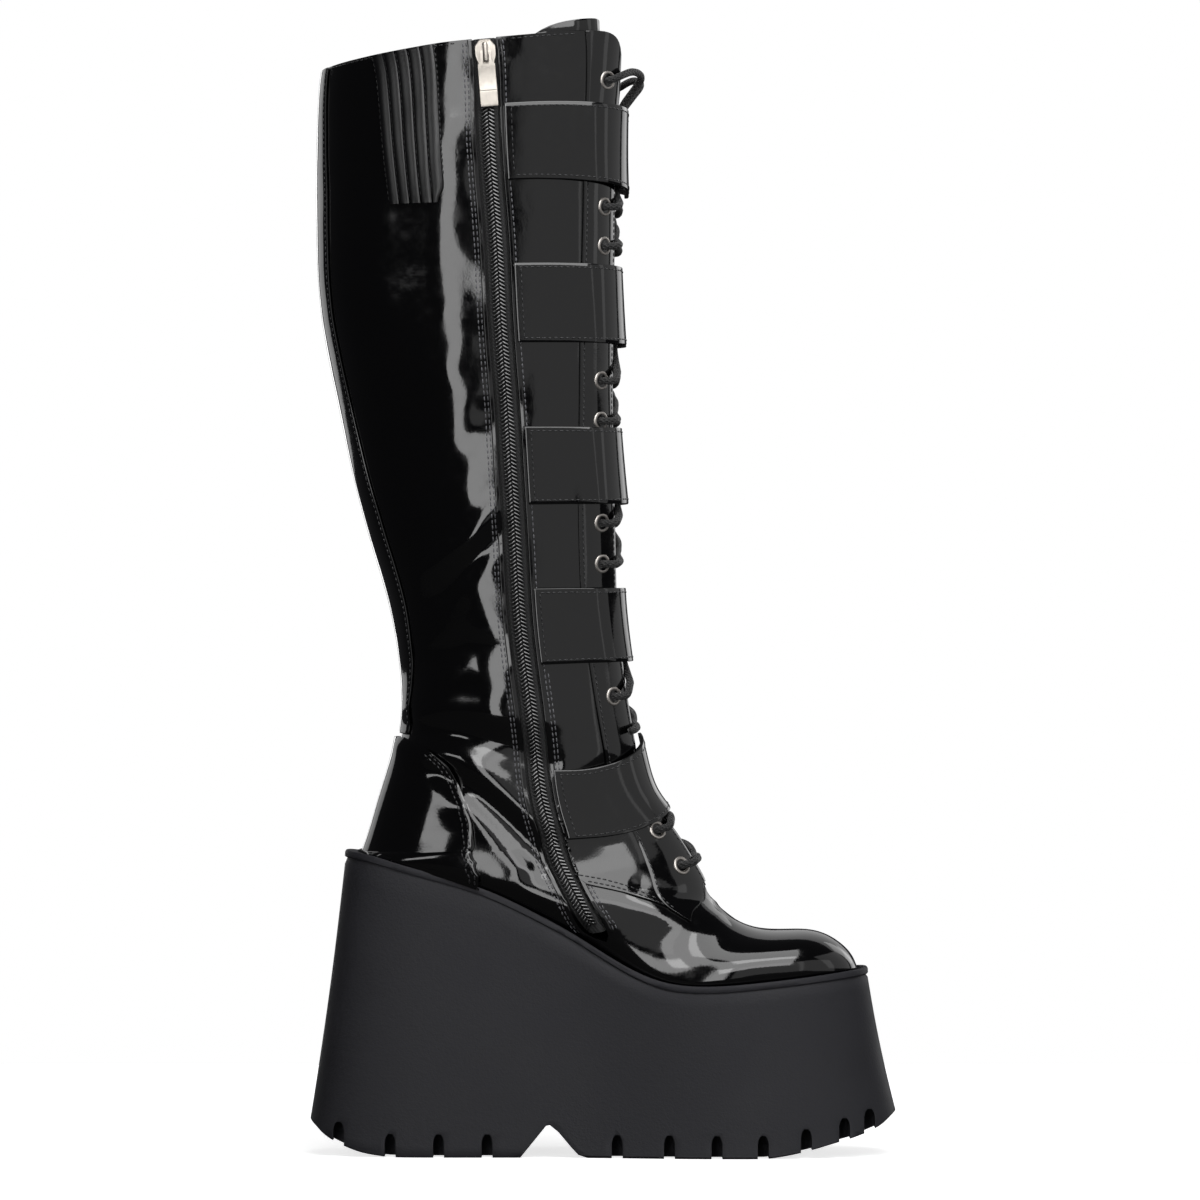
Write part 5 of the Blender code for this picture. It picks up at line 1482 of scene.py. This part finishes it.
collar_rows = []
before_zip, _, behind_zip = (float(turn) for turn in zip_turns(np.float64(0.1)))
arcs = (
    (INNER, behind_zip + 0.10, math.pi - 0.03),
    (INNER, float(turn_at_share(0.1, INNER, 0.17)), before_zip - 0.10),
    (OUTER, float(turn_at_share(0.1, OUTER, 0.17)), math.pi - 0.03),
)
for side, low, high in arcs:
    turn = np.linspace(low, high, 120)
    collar_rows.append(along_leather(COLLAR_STITCH + 0 * turn, turn, side, 0.0))
stitches("collar_stitches", collar_rows, THREAD)



def strap_stitches(row, down, share):
    """A row of stitches on a strap, through shares down it and along it."""
    down, share = both(down, share)
    return stitch_row(*(strap_place(row, down, share, STRAP_THICKNESS + out) for out in (0.0, 0.001)))


along_strap = strap_share(161)[0]
along_strap = along_strap[np.abs(along_strap) < 0.97]
strap_rows = []
for row in STRAP_ROWS:
    strap_rows += [strap_stitches(row, down, along_strap) for down in (0.055, 0.945)]
    strap_rows += [strap_stitches(row, np.linspace(0.06, 0.94, 40), share) for share in (-0.962, 0.962)]
stitches("strap_stitches", strap_rows, THREAD)

rib_rows = []
v = rows_between(0.12, 2.46)
for k in range(RIB_COUNT + 1):
    share = k / RIB_COUNT
    low, high = (turn_at_share(v, INNER, line(t)(v)) for t in (GUSSET_FRONT_ROWS, GUSSET_BACK_ROWS))
    keep = v < (2.25 if k == 0 else 3)
    rib_rows.append(along_leather(v[keep], (low + (high - low) * share)[keep], INNER, PLY))
stitches("gusset_stitches", rib_rows, THREAD)


# The zip
def zip_band():
    """The tape, with a raised cord under the coil."""
    v = rows_between(0.03, 18.15)[:, None]
    across = np.linspace(-1, 1, 17)[None, :] * (ZIP_WIDTH / 2 + TAPE_BESIDE)
    lift = np.where(np.abs(across) < CHAIN_WIDTH / 2, COIL_SEAT, -TAPE_DROP)
    lift = np.where(np.abs(across) > ZIP_WIDTH / 2 - TAPE_DROP, -TAPE_DIP, lift)
    narrow = np.minimum(1, (zip_half(v) - GAP) / (ZIP_WIDTH / 2))
    turn = along_by(v + 0 * across, zip_turns(v)[1] + 0 * across, INNER, across * narrow)
    return skin(v + 0 * across, turn, INNER, lift + 0 * v)


sew("zip_tape_band", [zip_band()], TAPE_THICKNESS, [TAPE], over=("zip",))


def coil():
    """Both rows of coil turns, short rounded bars that slant to the middle like chevrons."""
    v = rows_between(0.62, 17.95, 2)
    middle = zip_turns(v)[1]
    path, over = (skin(v, middle, INNER, COIL_LIFT + out) for out in (0.0, 0.001))
    places = []
    for point, along, out in zip(*stitch_row(path, over, COIL_PITCH)):
        along, out = along / np.linalg.norm(along), out / np.linalg.norm(out)
        across = np.cross(out, along)
        for hand in (-1, 1):
            bar = across * math.cos(COIL_LEAN) * hand + along * math.sin(COIL_LEAN)
            centre = point + across * hand * COIL_SPREAD - along * COIL_STAGGER * hand
            places.append((centre, bar, np.cross(out, bar), out))
    turn = mesh_of(block("turn", COIL_TURN, (0, 0, 0), COIL_ROUND, 2))
    obj = scatter("zip_coil", turn, places, COIL)
    soften(obj)
    return finish(obj)


coil()


def zip_frame():
    """The slider's own axes at the zip's top: down the zip, across it, and out from the leg."""
    top = 0.5
    middle = zip_turns(np.array([top - 0.1, top, top + 0.1]))[1]
    here = [Vector(raised(s, t, INNER, CHAIN_RISE)) for s, t in zip((top - 0.1, top, top + 0.1), middle)]
    down = (here[2] - here[0]).normalized()
    inside, outside = (Vector(raised(top, middle[1], INNER, lift)) for lift in (0.0, 0.01))
    out = (outside - inside).normalized()
    across = out.cross(down).normalized()
    out = down.cross(across).normalized()
    turn = Matrix((down, across, out)).transposed().to_4x4()
    return Matrix.Translation(here[1] + out * (GAP + SLIDER_PLATE + BAIL_HEIGHT / 2)) @ turn


AXES = zip_frame()


def plated(obj, angle, node, body):
    """Moves a piece from the slider's own axes to the zip's top, in nickel."""
    obj.data.transform(AXES)
    obj.data.materials.clear()
    obj.data.materials.append(NICKEL)
    soften(obj, angle)
    return finish(obj, over=(node,), body=body)


def slider():
    """The slider: a shield-shaped plate with a crowned face, and the bail on it."""
    half_length, half = SLIDER_LENGTH / 2, SLIDER_WIDTH / 2
    plate_size = (SLIDER_LENGTH, SLIDER_WIDTH, SLIDER_PLATE)
    obj = block("slider", plate_size, (0, 0, -BAIL_HEIGHT / 2 - SLIDER_PLATE / 2), 0)
    edit(obj, (bpy.ops.mesh.subdivide, {"number_cuts": 7}))
    for vertex in obj.data.vertices:
        t = vertex.co.x / half_length
        vertex.co.y *= 0.48 + 0.52 * smooth((t + 1.05) / 0.6) - 0.28 * smooth((t - 0.1) / 0.9)
        if vertex.co.z > -BAIL_HEIGHT / 2 - 0.0001:
            vertex.co.z -= 0.00035 * (vertex.co.y / half) ** 2 + 0.0003 * t * t
    round_edges(obj, FINE_EDGE, 40)
    arch_size = (BAIL_SPAN, BAIL_WIDTH * 0.8, BAIL_HEIGHT + BAIL_THICKNESS + BAIL_SUNK)
    arch = block("arch", arch_size, (0, 0, (BAIL_THICKNESS - BAIL_SUNK) / 2), 0.0010, 4)
    gap_size = (BAIL_SPAN - 2 * BAIL_LEG, BAIL_WIDTH * 2, BAIL_HEIGHT + BAIL_SUNK * 4)
    combine(arch, block("gap", gap_size, (0, 0, -BAIL_SUNK * 2), 0.0), "DIFFERENCE")
    pick(obj)
    arch.select_set(True)
    bpy.ops.object.join()
    return plated(obj, 35, "zip_slider", "boot")


def pull_tab():
    """The pull: a rounded tab with a window at its top, a scooped upper half and a cross line."""
    middle = PULL_LENGTH / 2 - PULL_BAR / 2
    obj = block("pull_tab", (PULL_LENGTH, PULL_WIDTH, PULL_THICKNESS), (middle, 0, 0), 0)
    edit(obj, (bpy.ops.mesh.subdivide, {"number_cuts": 23}))
    for vertex in obj.data.vertices:
        x = vertex.co.x
        vertex.co.y *= 1 - 0.36 * (1 - smooth((x - 0.0046) / 0.0014))
        if vertex.co.z > PULL_THICKNESS / 2 - 0.0001:
            vertex.co.z -= 0.00040 * math.sin(math.pi * min(max((x - 0.0068) / 0.0112, 0), 1)) ** 0.7
    round_edges(obj, 0.00025, 50)
    window_size = (WINDOW_LENGTH * 0.86, 0.0029, 0.006)
    window = block("window", window_size, (PULL_BAR / 2 + WINDOW_LENGTH * 0.43, 0, 0), 0.0005)
    combine(obj, window, "DIFFERENCE")
    groove_size = (0.0008, PULL_WIDTH * 1.2, 0.0010)
    groove = block("cut", groove_size, (PULL_LINE, 0, PULL_THICKNESS / 2 + 0.00005), 0.0001, 2)
    combine(obj, groove, "DIFFERENCE")
    return plated(obj, 30, "zip_pull", "pull")


slider()
pull_tab()


# Eyelets and lace
def eyelet_mesh():
    """A rolled ring, modelled once."""
    deselect()
    middle, wire = (EYELET_RADIUS + EYELET_HOLE) / 2, (EYELET_RADIUS - EYELET_HOLE) / 2
    bpy.ops.mesh.primitive_torus_add(
        major_segments=28, minor_segments=10, major_radius=middle, minor_radius=wire
    )
    obj = bpy.context.object
    for vertex in obj.data.vertices:
        vertex.co.z = vertex.co.z * 0.82 + 0.0001
    return obj


def eyelet_axes(station, side):
    """An eyelet's centre on the facing, and the way it looks."""
    u_here = np.array([[station - 0.1], [station + 0.1]]) * np.ones((1, 2))
    edge = throat_turn(u_here, side)
    turns = along_by(u_here, edge, side, EYELET_SETBACK + np.array([[-EYELET_SEAT, EYELET_SEAT]]))
    stations = collar_grid(u_here[:, 0], turns, edge, side)
    seat = [Vector(p) for p in skin(stations, turns, side, OVERLAY + GAP).reshape(-1, 3)]
    centre = sum(seat, Vector()) / 4
    out = (seat[1] + seat[3] - seat[0] - seat[2]).cross(seat[2] + seat[3] - seat[0] - seat[1]).normalized()
    out = out if out.dot(Vector((1, side, 0))) > 0 else -out
    return centre, out


ring_master = eyelet_mesh()
deselect()
bpy.ops.mesh.primitive_cylinder_add(vertices=20, radius=EYELET_HOLE * 1.12, depth=0.0004)
hole_master = bpy.context.object
eyelet_spots = {}
for word, side in SIDES:
    for number, station in enumerate(EYELET_STATIONS, 1):
        centre, out = eyelet_axes(station, side)
        eyelet_spots[(side, number)] = (centre, out)
        matrix = Matrix.Translation(centre) @ out.to_track_quat("Z", "Y").to_matrix().to_4x4()
        for master, name, material in ((ring_master, "ring", PEWTER), (hole_master, "hole", LINING)):
            copy = linked(f"eyelet_{name}_{word}_{number}", master.data.copy())
            copy.data.transform(matrix)
            copy.data.materials.clear()
            copy.data.materials.append(material)
            copy.data.shade_smooth()
            if name == "ring":
                finish(copy, over=(f"eyelet_{word}_{number}",))
            else:
                finish(copy)
bpy.data.objects.remove(ring_master)
bpy.data.objects.remove(hole_master)


def lace_run(lower, upper, side, high, hole):
    """A lace out of its eyelet, over the facing's edge, across the tongue and under the other facing."""
    edge = float(throat_turn(np.float64(lower), side))
    far = float(throat_turn(np.float64(upper), side))
    rest = 2 * GAP + LACE_DIAMETER / 2 - TONGUE_SINK
    turns = [float(along_by(np.float64(lower), edge, side, away)) for away, _ in LACE_ON_FACING_ROWS]
    lifts = [lift for _, lift in LACE_ON_FACING_ROWS]
    ends = [float(along_by(np.float64(upper), far, side, away)) for away in (-0.0042, 0.0005, 0.0060)]
    turns += [edge * 0.62, edge * 0.3, 0.0, -far * 0.35, *[-turn for turn in ends]]
    lifts += [rest + 0.0006, rest + high * 0.8, rest + high, rest + high * 0.8, rest - 0.0006]
    lifts += [-0.0034, -0.0042]
    first, stop = turns[0], turns[-1]
    control = []
    if hole:
        centre, out = hole
        control += [centre - out * LACE_IN_HOLE, centre + out * 0.0012]
    for turn, lift in zip(turns, lifts):
        station = lower + (upper - lower) * (first - turn) / (first - stop)
        control.append(Vector(raised(np.float64(station), np.float64(turn), side, lift)))
    return through(control, len(control) * 7)


for number, (lower, upper) in enumerate(LACE_ROWS, 1):
    eyelet = EYELET_STATIONS.index(lower) + 1 if lower in EYELET_STATIONS else None
    for letter, side, high in (("a", INNER, 0.0008), ("b", OUTER, -0.0004)):
        route = lace_run(lower, upper, side, high, eyelet_spots.get((side, eyelet)))
        lace(f"lace_{number}_{letter}", route)[0]
    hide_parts(f"lace_crossing_{number}")
for word, side in SIDES:
    centre, out = eyelet_spots[(side, 1)]
    first, second, third = lace_end_points(side)[:3]
    before = first + (first - third).normalized() * 0.0022
    controls = [centre - out * LACE_IN_HOLE, centre + out * 0.0018, before, first, second]
    lace(f"lace_top_{word}", through(controls, 24))

# The sole
SOLE_BACK = HEEL_X - HEEL_FLARE
SOLE_LENGTH = LAST_LENGTH + HEEL_FLARE + TOE_FLARE
tread_tuck, tread_spring = line(TREAD_ROWS, 1), line(TREAD_ROWS, 2)


def tread_z(x):
    """Height of the tread's underside at x, with the tread line's corners eased."""
    s = (x - SOLE_BACK) / SOLE_LENGTH
    steps = np.linspace(-TREAD_EASE, TREAD_EASE, 7)
    return sum(tread_tuck(s + d) * HEEL_TUCK + tread_spring(s + d) * TOE_SPRING for d in steps) / len(steps)


def ring(heel, toe, grow, height):
    """A ring of points on the feather outline, grown at heel, toe and sides, at height(x)."""
    turn = np.linspace(0, math.pi, OUTLINE_STATIONS + 1)
    s = (1 - np.cos(turn)) / 2
    x = HEEL_X - heel + s * (LAST_LENGTH + heel + toe)
    inner = [(x[k], -half_width(s[k], INNER, grow), height(x[k])) for k in range(OUTLINE_STATIONS + 1)]
    outer = [(x[k], half_width(s[k], OUTER, grow), height(x[k])) for k in range(OUTLINE_STATIONS - 1, 0, -1)]
    return np.array(inner + outer, float)


def between(low, high, share, inward=0.0):
    """The ring a share of the way up from low to high, drawn in towards the middle."""
    p = low + (high - low) * share
    away = p * (1, 1, 0)
    return p - away / np.linalg.norm(away, axis=1, keepdims=True) * inward


def sole_body():
    """The moulded platform's body, closed at both ends."""
    rim_top = lambda x: float(seat_z(x)) + RIM_HEIGHT
    floor_ring = ring(HEEL_FLARE, TOE_FLARE, SIDE_FLARE, lambda x: float(tread_z(x)))
    top_ring = ring(HEEL_LEDGE, TOE_LEDGE, SIDE_LEDGE, rim_top)
    band_ring = ring(HEEL_LEDGE, TOE_LEDGE, SIDE_LEDGE, lambda x: rim_top(x) - RIM_BAND)
    swell = [(t, 0.0002 + SIDE_SWELL * math.sin(math.pi * t)) for t in np.linspace(0.04, 0.975, 16)]
    rings = [between(floor_ring, band_ring, *row) for row in (*SIDE_ROWS, *swell, SIDE_TOP)]
    rings += [between(band_ring, top_ring, *row) for row in BAND_ROWS]
    groove = (RIM_GROOVE, RIM_GROOVE, RIM_GROOVE)
    rings += [ring(*groove, rim_top), ring(*groove, lambda x: float(seat_z(x)))]
    count, half = len(rings[0]), len(rings[0]) // 2
    faces = ring_faces(len(rings), count)
    strip = [[0, 1, count - 1]]
    strip += [[k, k + 1, count - k - 1, count - k] for k in range(1, half - 1)]
    strip.append([half - 1, half, half + 1])
    faces += [face[::-1] for face in strip]
    faces += [[(len(rings) - 1) * count + i for i in face] for face in strip]
    return new_mesh("platform_sole", np.concatenate(rings), faces, RUBBER)


def cutters():
    """The slots between the side lugs and the notch before the heel, as prisms across the sole."""
    made = []
    for place in LUG_PLACES:
        x = SOLE_BACK + place * SOLE_LENGTH
        foot = float(tread_z(x))
        for side in (INNER, OUTER):
            edge = float(half_width(place, side, SIDE_FLARE))
            inner_end = max(edge - LUG_DEPTH, 0.004)
            h = LUG_GAP / 2
            shape = [(-h, -SLOT_BELOW), (h, -SLOT_BELOW)] + [(a * h, b * LUG_HEIGHT) for a, b in SLOT_ROWS]
            ends = (side * inner_end, side * (edge + 0.03))
            made.append([[(x + a, y, foot + b) for a, b in shape] for y in ends])
    shape = [(SOLE_BACK + s * SOLE_LENGTH, h * ARCH_HEIGHT) for s, h in NOTCH_ROWS]
    made.append([[(x, y, z) for x, z in shape] for y in (-BALL_WIDTH, BALL_WIDTH)])
    vertices, faces = [], []
    for near, far in made:
        start, n = len(vertices), len(near)
        vertices += near + far
        faces += [[start + i for i in range(n)], [start + n + i for i in range(n)][::-1]]
        faces += [[start + i, start + n + i, start + n + (i + 1) % n, start + (i + 1) % n] for i in range(n)]
    return new_mesh("cutters", vertices, faces, RUBBER)


body, cut = sole_body(), cutters()
for obj in (body, cut):
    edit(obj, (bpy.ops.mesh.normals_make_consistent, {"inside": False}))
combine(body, cut, "DIFFERENCE")
round_edges(body, 0.0006, 48)
soften(body, 30)
finish(body, over=("sole",))

# The insole's board stays, covered with the lining
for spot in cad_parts["insole"].material_slots:
    spot.material = LINING

deselect()
